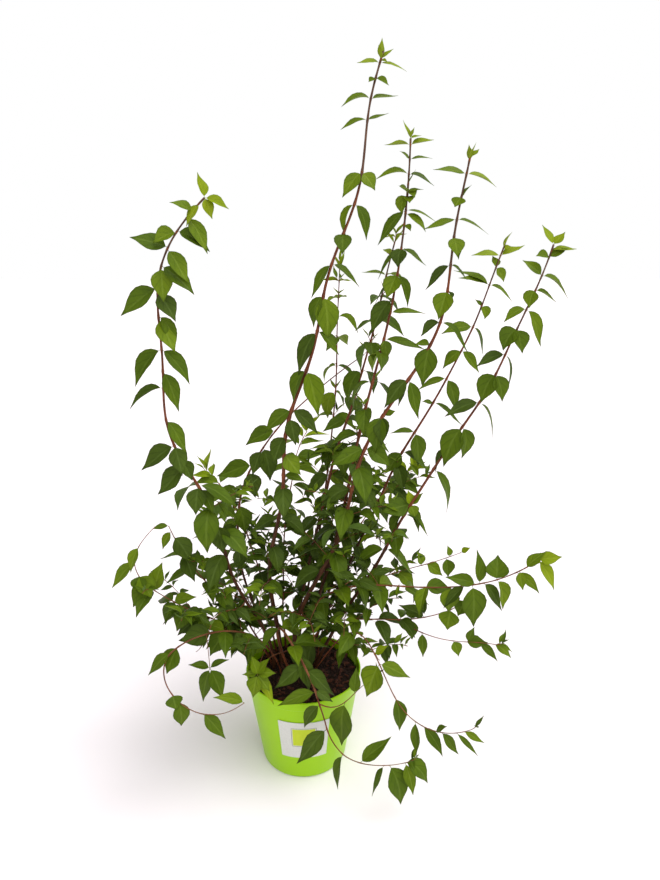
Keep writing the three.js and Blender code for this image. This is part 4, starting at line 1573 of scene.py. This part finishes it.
@dataclass(frozen=True)
class Greens:
    """How the greens are dealt out by spray: fresh at the tips, deeper towards the shaded foot as painted
    shade.

    A leaf gets a brighter green for each metre that it grows higher or further out, and by its stem's order:
    painted light where leaves are lit, over the leaves' own greens.
    """

    seed: int = 91
    by_place: float = 0.8
    by_order: tuple[float, ...] = (0.0, 0.28, 0.22, 0.06)
    by_spray: Span = (-0.2, 0.2)
    by_leaf: Span = (-0.22, 0.22)
    bright: float = 0.84
    mid: float = 0.42
    young: float = 0.5
    young_bright: float = 0.5
    fresh_ages: Span = (0.3, 0.65)
    fresh_height: float = 0.75
    fresh_rise: float = 0.3
    fresh_from: float = 0.62

    def tone(self, leaf: Leaf, order: int, stray: float, tip: bool) -> Tone:
        """Picks the green of one leaf.

        Args:
            leaf: The leaf.
            order: Its stem's order.
            stray: How far its spray and itself stray together.
            tip: Whether its stem ends in the open.

        Returns:
            The green.
        """
        height = leaf.base.z
        reach = math.hypot(leaf.base.x, leaf.base.y)
        # Painted light: a leaf counts as more lit the higher and further out it grows, and on the low and
        # side shoots
        light = self.by_place * height + self.by_place * reach + self.by_order[order] + stray
        high = min(max((height - self.fresh_height) / self.fresh_rise, 0), 1)
        if leaf.age < mix(*self.fresh_ages, high) and tip and height + reach > self.fresh_from:
            return Tone.FRESH
        if light > self.bright or (leaf.age < self.young and light > self.young_bright):
            return Tone.BRIGHT
        return Tone.MID if light > self.mid else Tone.DEEP


@dataclass
class Shrub:
    """The whole plant: its canes and shoots by the solids' rule, and what the scene grows on them."""

    pot: NurseryPot
    soil: Soil
    low: Vector
    high: Vector
    grower: Grower = field(default_factory=Grower)
    greens: Greens = Greens()
    clear: float = 0.3 * MM
    step: float = 0.0005
    sway_seed: int = 300
    low_longer: float = 0.36
    low_wider: float = 0.9
    loose_seed: int = 500
    loose_bearing: Span = (-32, 32)
    loose_lift: Span = (-12, 34)
    loose_droop: Span = (0.35, 1.05)
    fine_seed: int = 71
    fine_heights: Span = (0.17, 0.52)
    fine_lowest: float = 200 * MM
    fine_shares: Span = (0.1, 0.9)
    fine_spacing: float = 26 * MM
    fine_chance: Triple = (0.36, 0.34, 0.25)
    fine_length: Span = (45 * MM, 95 * MM)
    fine_rise: Span = (12, 52)
    fine_leaf: Span = (26 * MM, 46 * MM)
    fine_radius: float = 0.55 * MM
    fine_internode: float = 0.62
    fine_bare: float = 0.12
    fine_reach: float = 0.28
    tuft_seed: int = 83
    tuft_first_pair: int = 1
    tuft_chance: float = 0.3
    tuft_length: Span = (6 * MM, 12 * MM)
    tuft_rise: float = 58
    tuft_leaf: Span = (22 * MM, 36 * MM)
    tuft_internode: float = 0.7
    tuft_bare: float = 0.2
    crown_seed: int = 97
    crown_growth: Growth = Growth(0.5 * MM, 30 * MM, 9 * MM, 0.0)
    crown_length: Span = (8 * MM, 12 * MM)
    crown_upturn: float = 0.15
    crown_room: float = 5 * MM
    seen_growth: Growth = Growth(0.7 * MM, 0.0, 0.0, 1.0)
    cane_longer: float = 1.15
    cane_wider: float = 4.5 * MM
    stems: dict[str, Stem] = field(default_factory=dict)
    extra: list[Stem] = field(default_factory=list)

    def grow(self) -> None:
        """Grows every shoot by the solids' rule, then the finer twigs, and deals out the greens."""
        for order, shoots in enumerate((CANES, LOW_SHOOTS)):
            for shoot in shoots:
                x, y = shoot.foot
                start = Vector((x * MM, y * MM, self.soil.top + self.clear))
                handles = (Vector(place) * MM for place in (shoot.rise, shoot.arch, shoot.tip))
                self.lay(shoot, Arc(start, *handles), order)
                self.stems[shoot.name].rooted = True
        for shoot in SHOOT_ENDS:
            carrier = self.stems[shoot.after].arc
            forward = carrier.heading(1)
            start = carrier.place(1) + forward * self.clear
            rise = start + forward * shoot.lead * MM
            self.lay(shoot, Arc(start, rise, Vector(shoot.arch) * MM, Vector(shoot.tip) * MM), 1)
        for index, row in enumerate(SIDE_SHOOTS):
            self.lay_side(index, *row)
        self.crown()
        self.thicken()
        self.tuft()
        self.show_seen()
        self.tint()

    def lay(self, shoot: Shoot, arc: Arc, order: int) -> None:
        """Grows one shoot, and its fork if it has one.

        Args:
            shoot: The shoot.
            arc: The line that it follows, still without its bends.
            order: Its order.
        """
        dice = Dice(shoot.seed)
        arc.sway(Dice(shoot.seed + self.sway_seed))
        arc.sways += [(waves, Vector((wide * MM, 0, 0))) for waves, wide in shoot.bends]
        growth = shoot.growth()
        stem = self.stems[shoot.name] = self.grower.sprout(arc, growth, dice, order)
        if order == 1:
            for leaf in stem.leaves:
                leaf.length *= 1 + self.low_longer * (1 - leaf.age)
                leaf.width *= 1 + self.low_wider * (1 - leaf.age)
            self.loosen(stem.leaves, Dice(shoot.seed + self.loose_seed))
        if shoot.fork:
            fork = shoot.fork
            branch = Arc(arc.place(fork.at), *(Vector(p) * MM for p in (fork.rise, fork.arch, fork.tip)))
            plan = replace(growth, radius=fork.radius, bare=fork.bare, twigs=0.0)
            self.stems[f"{shoot.name}_fork"] = self.grower.sprout(branch, plan, dice, 2)

    def loosen(self, leaves: list[Leaf], dice: Dice) -> None:
        """Turns leaves out of their even rows, and lifts some of them.

        Args:
            leaves: The leaves.
            dice: The row of chances.
        """
        for leaf in leaves:
            leaf.bearing += dice.among(self.loose_bearing)
            leaf.lift += dice.among(self.loose_lift)
            leaf.droop *= dice.among(self.loose_droop)

    def lay_side(self, index: int, cane: str, height: float, bearing: float, reach: float) -> None:
        """Grows a side shoot that leaves its cane squarely, climbs a little and nods.

        Args:
            index: Its number, from 0.
            cane: The cane that bears it.
            height, reach: Where it leaves the cane and how far it reaches, in millimetres.
            bearing: Where it points.
        """
        carrier = self.stems[cane]
        share = 0.0
        while carrier.arc.place(share).z < height * MM:
            share += self.step
        forward = carrier.arc.heading(share)
        level = level_at(bearing)
        out = (level - forward * level.dot(forward)).normalized()
        start = carrier.arc.place(share) + out * (carrier.growth.radius_at(share) + self.clear)
        span = reach * MM
        handles = [start + level * (along * span) + UP * (up * span) for along, up in SIDE_ARC]
        arc = Arc(start, start + out * (SIDE_LEAD * span), *handles)
        self.stems[f"side_{index + 1}"] = self.grower.sprout(arc, SIDE_GROWTH, Dice(SIDE_SEED + index), 2)

    def crown(self) -> None:
        """Ends each cane and shoot in a bud of small upright leaves."""
        chance = Dice(self.crown_seed)
        for name, stem in self.stems.items():
            if name in BUDLESS or any(row[0] == 1 for row in SEEN_LEAVES.get(name, ())):
                continue
            top = stem.arc.place(1)
            forward = stem.arc.heading(1)
            length = chance.among(self.crown_length)
            rest = (top + (forward + UP * (self.crown_upturn * i)) * (length * i / 3) for i in (1, 2, 3))
            arc = Arc(top, *rest)
            bud = self.grower.sprout(arc, self.crown_growth, chance, 3)
            if self.fits(arc, -self.crown_room):
                self.extra.append(bud)

    def thicken(self) -> None:
        """Carries the growth on to finer twigs in the bushy foot, within the shoots' own reach."""
        chance = Dice(self.fine_seed)
        for name, stem in list(self.stems.items()):
            for share in self.fine_places(stem, chance):
                base = stem.arc.place(share)
                bearing = 360 * chance.draw()
                length = chance.among(self.fine_length)
                leaf = chance.among(self.fine_leaf)
                plan = Growth(self.fine_radius, leaf, leaf * self.fine_internode, self.fine_bare)
                arc = twig_arc(base, bearing, length, chance.among(self.fine_rise))
                twig = self.grower.sprout(arc, plan, chance, 3)
                self.loosen(twig.leaves, chance)
                clear_of_soil = base.z > self.fine_lowest
                if clear_of_soil and self.fits(arc, leaf) and share < GIVES_WAY.get(name, 1):
                    self.extra.append(twig)

    def fine_places(self, stem: Stem, chance: Dice) -> list[float]:
        """Picks where finer twigs stand on a stem: low on the canes, and along the low shoots.

        Args:
            stem: The stem.
            chance: The row of chances.

        Returns:
            Shares of the stem's length.
        """
        low, high = self.fine_heights
        share, end = self.fine_shares
        places = []
        while share < end:
            place = stem.arc.place(share)
            near = math.hypot(place.x, place.y) < self.fine_reach
            if near and low < place.z < high and chance.draw() < self.fine_chance[stem.order]:
                places.append(share)
            share += self.fine_spacing / stem.arc.length
        return places

    def fits(self, arc: Arc, room: float) -> bool:
        """Tells whether an arc's tip lies in the plant's box with some room round it."""
        tip = arc.place(1)
        return all(self.low[i] + room < tip[i] < self.high[i] - room for i in range(3))

    def tuft(self) -> None:
        """Sets short leafy tufts in some axils of the canes, above the bushy foot."""
        chance = Dice(self.tuft_seed)
        for name, stem in self.stems.items():
            if stem.order:
                continue
            for share in stem.pairs[self.tuft_first_pair:]:
                base = stem.arc.place(share)
                for turn in (0, 180):
                    bearing = 360 * chance.draw() + turn
                    length = chance.among(self.tuft_length)
                    leaf = chance.among(self.tuft_leaf)
                    arc = twig_arc(base, bearing, length, self.tuft_rise)
                    plan = Growth(self.fine_radius, leaf, leaf * self.tuft_internode, self.tuft_bare)
                    chosen = chance.draw() < self.tuft_chance and base.z > self.fine_heights[0]
                    if chosen and share < GIVES_WAY.get(name, 1):
                        self.extra.append(self.grower.sprout(arc, plan, chance, 3))

    def show_seen(self) -> None:
        """Lets the leaves that the photograph shows plainly stand in for the rule's own."""
        for name, share in GIVES_WAY.items():
            stem = self.stems[name]
            kept = [i for i, pair in enumerate(stem.pairs) if pair < share]
            stem.leaves = [leaf for i in kept for leaf in stem.leaves[2 * i:2 * i + 2]]
            stem.pairs = [stem.pairs[i] for i in kept]
            axils = [leaf.base for leaf in stem.leaves]
            stem.twigs = [twig for twig in stem.twigs if twig.arc.corners[0] in axils]
        for twig in SEEN_TWIGS:
            arc = twig.arc(self.stems[twig.stem].arc)
            self.stems[twig.name] = Stem(arc, self.seen_growth, [], [], [], 3)
        for name, rows in SEEN_LEAVES.items():
            stem = self.stems[name]
            for seen in (SeenLeaf(share, row[:3], *row[3:]) for share, *leaves in rows for row in leaves):
                leaf = seen.leaf(stem.arc)
                if stem.order == 0:
                    leaf.length *= self.cane_longer
                    leaf.width += self.cane_wider
                stem.leaves.append(leaf)
                stem.pairs.append(seen.share)

    def tint(self) -> None:
        """Gives each leaf its green, unless it has one."""
        chance = Dice(self.greens.seed)
        for stem in self.all_stems():
            spray = chance.among(self.greens.by_spray)
            tip = stem.order < 3 or stem.growth is self.crown_growth
            for leaf in stem.leaves:
                if not leaf.tone:
                    stray = spray + chance.among(self.greens.by_leaf)
                    leaf.tone = self.greens.tone(leaf, stem.order, stray, tip)

    def all_stems(self) -> list[Stem]:
        """Lists every stem of the plant, twigs included."""
        return [part for stem in [*self.stems.values(), *self.extra] for part in stem.every()]


# The wood and the leaves as meshes


@dataclass
class Wood:
    """The canes, shoots and twigs as tubes with the bark's relief, swollen at their nodes.

    Its finishes are the barks from foot to tip, which give way to one another at ends, and last the one at
    the nodes.
    """

    name: str
    stems: list[Stem]
    nodes: list[str]
    finishes: tuple[Finish, ...]
    ends: tuple[float, ...]
    sides: int
    spacing: float
    least: float = 1.2 * MM
    tips: float = 0.01
    flare: float = 0.35
    flare_height: float = 10 * MM
    sunk: float = 4 * MM
    swelling: float = 0.32
    swelling_length: float = 3 * MM
    node_rings: Triple = (-0.8, 0, 0.8)
    scar: float = 1.1 * MM
    relief: float = 0.05
    kept: float = 0.85
    new: float = 0.5
    first_side: Triple = (0.3, 1, 0.1)

    def shares(self, stem: Stem) -> list[float]:
        """Picks where a stem's rings lie, closer together at each node.

        Args:
            stem: The stem.

        Returns:
            Rising shares of its length, from 0 to 1.
        """
        length = stem.arc.length
        steps = max(3, round(length / self.spacing))
        even = [i / steps for i in range(steps + 1)]
        swollen = [pair + ring * self.swelling_length / length
                   for pair in stem.pairs for ring in self.node_rings]
        rings = sorted(even + [share for share in swollen if self.tips < share < 1 - self.tips])
        kept = [0.0]
        for share in rings[1:]:
            if share - kept[-1] > self.least / length:
                kept.append(share)
        kept[-1] = 1.0
        return kept

    def off_node(self, stem: Stem, share: float) -> float:
        """Gives how far a place on a stem is from its nearest node, as a share of the stem's length."""
        return min((abs(share - pair) for pair in stem.pairs), default=1.0)

    def girth(self, stem: Stem, share: float) -> float:
        """Gives a stem's radius, with its flared foot and its swollen nodes.

        Args:
            stem: The stem.
            share: Where on it.

        Returns:
            The radius.
        """
        length = stem.arc.length
        radius = stem.growth.radius_at(share)
        if stem.rooted:
            radius *= 1 + self.flare * max(0.0, 1 - share * length / self.flare_height)
        off = self.off_node(stem, share) * length / self.swelling_length
        return radius * (1 + self.swelling * math.exp(-off**2))

    def tube(self, stem: Stem, chance: np.random.Generator) -> tuple[Array, Array, list[float]]:
        """Sweeps one stem.

        Args:
            stem: The stem.
            chance: The source of the bark's relief.

        Returns:
            Its corners as ring by side by x, y, z, their maps as ring by side by u, v, and the rings' shares.
        """
        shares = self.shares(stem)
        angles = np.arange(self.sides) * math.tau / self.sides
        side = Vector(self.first_side)
        rings = []
        maps = []
        ridges = chance.normal(0, self.relief, self.sides)
        for share in shares:
            forward = stem.arc.heading(share)
            side = (side - forward * side.dot(forward)).normalized()
            over = forward.cross(side)
            middle = stem.arc.place(share)
            if stem.rooted and share == 0:
                middle = middle - UP * self.sunk
            ridges = self.kept * ridges + chance.normal(0, self.relief * self.new, self.sides)
            radius = self.girth(stem, share) * (1 + ridges)
            across = (radius * np.cos(angles))[:, None]
            up = (radius * np.sin(angles))[:, None]
            rings.append(np.array(middle) + across * np.array(side) + up * np.array(over))
            around = angles * stem.growth.radius_at(share)
            maps.append(np.stack([np.full(self.sides, share * stem.arc.length), around], axis=1))
        return np.array(rings), np.array(maps), shares

    def build(self) -> Piece:
        """Joins the tubes, closes their ends and deals out the barks.

        Returns:
            The piece.
        """
        chance = np.random.default_rng(len(self.stems))
        corners: list[Array] = []
        maps: list[Array] = []
        faces: list[tuple[int, ...]] = []
        barks: list[int] = []
        first = 0
        for stem in self.stems:
            rings, spread, shares = self.tube(stem, chance)
            corners.append(rings.reshape(-1, 3))
            maps.append(spread.reshape(-1, 2))
            for i, ends in enumerate(zip(shares, shares[1:])):
                low = first + i * self.sides
                for j in range(self.sides):
                    k = (j + 1) % self.sides
                    faces.append((low + j, low + k, low + self.sides + k, low + self.sides + j))
                middle = sum(ends) / 2
                at_node = self.off_node(stem, middle) * stem.arc.length < self.scar
                bark = len(self.ends) + 1 if at_node else sum(middle > end for end in self.ends)
                barks += [bark] * self.sides
            last = first + (len(rings) - 1) * self.sides
            faces.append(tuple(first + j for j in reversed(range(self.sides))))
            faces.append(tuple(last + j for j in range(self.sides)))
            barks += [0, len(self.ends)]
            first = last + self.sides
        piece = meshed(self.name, np.concatenate(corners), faces, self.finishes, barks)
        mapped(piece, "stem", np.concatenate(maps))
        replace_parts(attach(piece, "root"), *self.nodes)
        return piece


@dataclass
class Foliage:
    """All leaves of one green, each a thin closed blade that is folded along its midrib and arches over.

    shape says as powers how bluntly it begins and how finely it is drawn out, bend how early it bends over,
    and hinge is the share of that bend which lies in its stalk.
    """

    tone: Tone
    leaves: list[Leaf]
    nodes: list[str]
    pot: NurseryPot
    soil: Soil
    seed: int
    rows: tuple[float, ...] = (0.0, 0.07, 0.1, 0.16, 0.25, 0.37, 0.51, 0.67, 0.84, 1.0)
    stalk: float = 0.07
    shape: Span = (0.9, 1.65)
    longer: float = 1.24
    young_longer: float = 0.24
    wider: float = 1.06
    stalk_width: float = 0.8 * MM
    tip_width: float = 0.2 * MM
    thickness: float = 0.45 * MM
    thinnest: float = 0.5
    fold: Span = (5, 32)
    young_fold: float = 24
    flatter: float = 0.25
    twist: Span = (-38, 38)
    posed_twist: float = 0.4
    to_light: Span = (-10, 42)
    ripple: float = 0.036
    waves: Span = (9, 17)
    phases: Span = (0, 6)
    bend: Span = (1.4, 2.8)
    hinge: Span = (0.0, 0.3)
    lift_share: float = 0.8
    fall_share: Span = (0.6, 1.1)
    recurve: Span = (-10, 20)
    young_recurve: float = 22
    recurve_from: float = 0.5
    lowest: float = 3 * MM

    def outline(self) -> Array:
        """Draws a blade's outline: rounded below and drawn out to a drip tip.

        Returns:
            The half width at each row, as a share of the greatest.
        """
        blunt, drawn_out = self.shape
        blade = np.clip((np.array(self.rows) - self.stalk) / (1 - self.stalk), 0, 1)
        shape = blade**blunt * (1 - blade) ** drawn_out
        return shape / shape.max()

    def blades(self) -> Array:
        """Lays out every leaf.

        Returns:
            The corners as leaf by row by left, midrib, right and keel by x, y, z.
        """
        chance = np.random.default_rng(self.seed)
        one_each = (len(self.leaves), 1)
        rows = np.array(self.rows)
        names = ("length", "width", "lift", "droop", "bearing", "roll", "age", "posed")
        values = np.array([[getattr(leaf, name) for name in names] for leaf in self.leaves])
        length, width, lift, droop, bearing, roll, age, posed = values.T[..., None]
        length = length * (self.longer + self.young_longer * (1 - age))
        bearing = np.radians(bearing)
        bend = chance.uniform(*self.bend, one_each)
        recurve = chance.uniform(*self.recurve, one_each) + self.young_recurve * (1 - age)
        curl = recurve * np.clip(rows - self.recurve_from, 0, 1) / (1 - self.recurve_from)
        fall = (lift + droop) * chance.uniform(*self.fall_share, one_each)
        hinge = chance.uniform(*self.hinge, one_each) * age
        give = hinge * np.clip(rows / self.stalk, 0, 1) + (1 - hinge) * (1 - (1 - rows) ** bend)
        pitch = np.radians(self.lift_share * lift - fall * give + curl)
        middle = (pitch[:, 1:] + pitch[:, :-1]) / 2
        step = length * np.diff(rows)
        out, up = (np.concatenate([np.zeros(one_each), np.cumsum(step * part, axis=1)], axis=1)[..., None]
                   for part in (np.cos(middle), np.sin(middle)))
        level = np.stack([np.cos(bearing), np.sin(bearing), np.zeros_like(bearing)], axis=-1)
        left = np.stack([-np.sin(bearing), np.cos(bearing), np.zeros_like(bearing)], axis=-1)
        upward = np.array(UP)
        base = np.array([leaf.base[:] for leaf in self.leaves])[:, None, :]
        rib = base + out * level + up * upward
        forward = np.cos(pitch)[..., None] * level + np.sin(pitch)[..., None] * upward
        face = np.cross(forward, np.broadcast_to(left, forward.shape))
        to_light = chance.uniform(*self.to_light, one_each)
        turn = np.where(posed, sum(self.to_light) / 2, to_light) * np.cos(bearing)
        twist = chance.uniform(*self.twist, one_each) * np.where(posed, self.posed_twist, 1) * rows
        roll = np.radians(roll + turn + twist)[..., None]
        across = np.cos(roll) * left + np.sin(roll) * face
        face = np.cos(roll) * face - np.sin(roll) * left
        fold = chance.uniform(*self.fold, one_each) + self.young_fold * (1 - age)
        waves = np.sin(rows * chance.uniform(*self.waves, one_each) + chance.uniform(*self.phases, one_each))
        fold = np.radians(fold * (1 - self.flatter * rows) + np.degrees(self.ripple * waves))[..., None]
        half = width / 2 * self.wider * self.outline()
        half = np.maximum(half, self.stalk_width / 2)[..., None]
        half[:, -1] = self.tip_width / 2
        depth = self.thickness * np.maximum(self.outline(), self.thinnest)[None, :, None]
        edge = half * np.sin(fold) * face
        aside = half * np.cos(fold) * across
        corners = [rib + aside + edge, rib + 0.5 * depth * face, rib - aside + edge, rib - 0.5 * depth * face]
        return np.stack(corners, axis=2)

    def blade_faces(self) -> tuple[list[tuple[int, ...]], list[int]]:
        """Lays out the faces of one blade.

        Returns:
            The faces by corner numbers, and for each whether it is on the skin, 0, or on the underside, 1.
        """
        blade: list[tuple[int, ...]] = []
        sides: list[int] = []
        for i in range(len(self.rows) - 1):
            for j in range(4):
                near, beside = 4 * i + j, 4 * i + (j + 1) % 4
                far, across = near + 4, beside + 4
                if j % 2 == 0:
                    blade += [(near, beside, across), (near, across, far)]
                else:
                    blade += [(near, beside, far), (beside, across, far)]
                sides += [0, 0] if j < 2 else [1, 1]
        last = 4 * (len(self.rows) - 1)
        blade += [(3, 2, 1, 0), tuple(last + j for j in range(4))]
        return blade, [*sides, 0, 0]

    def build(self) -> Piece:
        """Joins the blades that pierce neither the pot nor the soil into one piece.

        Returns:
            The piece.
        """
        corners = self.blades()
        low = corners[..., 2].min(axis=(1, 2)) < self.lowest
        clash = self.pot.blocks(corners[:, 2:], self.soil.top).any(axis=(1, 2)) | low
        corners = corners[~clash]
        count, rows = corners.shape[:2]
        LOG.info("%s: %d leaves, %d left out", self.tone.name, count, clash.sum())
        blade, sides = self.blade_faces()
        faces = [tuple(4 * rows * n + corner for corner in row) for n in range(count) for row in blade]
        name = f"leaves_{self.tone.name.lower()}"
        piece = meshed(name, corners.reshape(-1, 3), faces, self.tone.value, sides * count)
        spread = np.array([[0, 0.5, 1, 0.5]] * rows)
        along = np.repeat(np.array(self.rows)[:, None], 4, axis=1)
        mapped(piece, "blade", np.tile(np.stack([spread, along], axis=-1).reshape(-1, 2), (count, 1)))
        self.crease(piece)
        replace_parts(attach(piece, "root"), *self.nodes)
        return piece

    def crease(self, piece: Piece) -> None:
        """Keeps the shading sharp along the margins and the midrib, whose edges run along a blade.

        Args:
            piece: The joined blades.
        """
        mesh = piece.data
        ends = np.empty(len(mesh.edges) * 2, dtype=np.int32)
        mesh.edges.foreach_get("vertices", ends)
        ends = ends.reshape(-1, 2)
        along = (ends[:, 0] - ends[:, 1]) % 4 == 0
        sharp = mesh.attributes.new("sharp_edge", "BOOLEAN", "EDGE")
        sharp.data.foreach_set("value", along)


# The studio


@dataclass
class Studio:
    """A white floor, white surroundings, large soft lights and the photograph's camera."""

    eye: Triple = (0.044, -0.947, 0.837)
    pitch_down: float = 16.6
    focal_pixels: float = 661
    long_side_pixels: int = 880
    sensor: float = 36.0
    far: float = 60.0
    floor_size: float = 30.0
    floor_drop: float = 0.2 * MM
    surround: float = 0.45
    lights: tuple[tuple[str, Triple, float, float], ...] = (
        ("key_light", (1.3, 0.2, 2.4), 1.9, 44),
        ("fill_light", (0.2, -1.7, 1.9), 1.6, 70),
        ("side_light", (2.2, -0.9, 0.8), 0.35, 60),
    )

    def camera(self) -> None:
        """Sets up the camera at the photograph's place."""
        lens = bpy.data.cameras.new("photo_camera")
        lens.sensor_width = self.sensor
        lens.lens = self.focal_pixels / self.long_side_pixels * self.sensor
        lens.clip_end = self.far
        holder = bpy.data.objects.new("photo_camera", lens)
        holder.location = self.eye
        holder.rotation_euler = (math.radians(90 - self.pitch_down), 0, 0)
        bpy.context.scene.collection.objects.link(holder)
        bpy.context.scene.camera = holder

    def floor(self) -> None:
        """Lays a wide white floor."""
        form = bmesh.new()
        bmesh.ops.create_grid(form, x_segments=4, y_segments=4, size=self.floor_size / 2)
        floor = shaped("studio_floor", form, FLOOR_PAINT)
        floor.location.z = -self.floor_drop
        floor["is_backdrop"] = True

    def surroundings(self) -> None:
        """Makes a white background, and an even dimmer light from all round."""
        world = bpy.data.worlds.new("white_studio")
        world.use_nodes = True
        tree = world.node_tree
        seen = add_node(tree, "ShaderNodeLightPath")
        strength = add_node(tree, "ShaderNodeMapRange",
                            {"Value": seen.outputs["Is Camera Ray"], "To Min": self.surround, "To Max": 1.0})
        background = tree.nodes["Background"]
        background.inputs["Color"].default_value = (1, 1, 1, 1)
        tree.links.new(strength.outputs[0], background.inputs["Strength"])
        bpy.context.scene.world = world

    def hang_lights(self) -> None:
        """Hangs the distant soft lights, which shine on the middle of the scene."""
        for name, place, strength, spread in self.lights:
            lamp = bpy.data.lights.new(name, "SUN")
            lamp.energy = strength
            lamp.angle = math.radians(spread)
            holder = bpy.data.objects.new(name, lamp)
            holder.location = place
            holder.rotation_euler = Vector(place).to_track_quat("Z", "Y").to_euler()
            bpy.context.scene.collection.objects.link(holder)

    def build(self) -> None:
        """Sets up the whole studio."""
        self.floor()
        self.surroundings()
        self.hang_lights()
        self.camera()
        bpy.context.scene.view_settings.view_transform = "Standard"


def main() -> None:
    """Builds the studio, the pot and the plant, and reports each piece."""
    logging.basicConfig(level=logging.INFO, format="%(message)s")
    nodes = sorted(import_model()["nodes"])
    frame_box = [list(corner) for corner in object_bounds()]
    Studio().build()
    pot = NurseryPot(*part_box("pot"))
    soil = Soil(pot)
    pieces = [pot.build(), *soil.build(), *Label(pot).build()]
    shrub = Shrub(pot, soil, *(Vector(corner) for corner in frame_box))
    shrub.grow()
    stems = shrub.all_stems()
    canes, shoots, twigs = ([stem for stem in stems if stem.order in orders]
                            for orders in ((0,), (1, 2), (3,)))
    limbs, low_limbs, masses = ([name for name in nodes if name.startswith(start)]
                                for start in ("cane_", "shoot_", "foliage_"))
    # The foot's bark carries painted shade under the foliage as well as the older wood's own colour
    cane_barks = (OLD_AND_SHADED_BARK, CANE_BARK, TIP_BARK, NODE_BARK)
    shoot_barks = (CANE_BARK, TWIG_BARK, NODE_BARK)
    pieces += [
        Wood("wood_canes", canes, limbs, cane_barks, ends=(0.34, 0.82), sides=9, spacing=7 * MM).build(),
        Wood("wood_shoots", shoots, low_limbs, shoot_barks, ends=(0.4,), sides=7, spacing=6 * MM).build(),
        Wood("wood_twigs", twigs, masses, shoot_barks[1:], ends=(), sides=5, spacing=7 * MM).build(),
    ]
    for seed, tone in enumerate(Tone, FIRST_FOLIAGE_SEED):
        leaves = [leaf for stem in stems for leaf in stem.leaves if leaf.tone is tone]
        pieces.append(Foliage(tone, leaves, masses, pot, soil, seed).build())
    for piece in pieces:
        LOG.info("%s: %d faces", piece.name, len(piece.data.polygons))


if __name__ == "__main__":
    main()
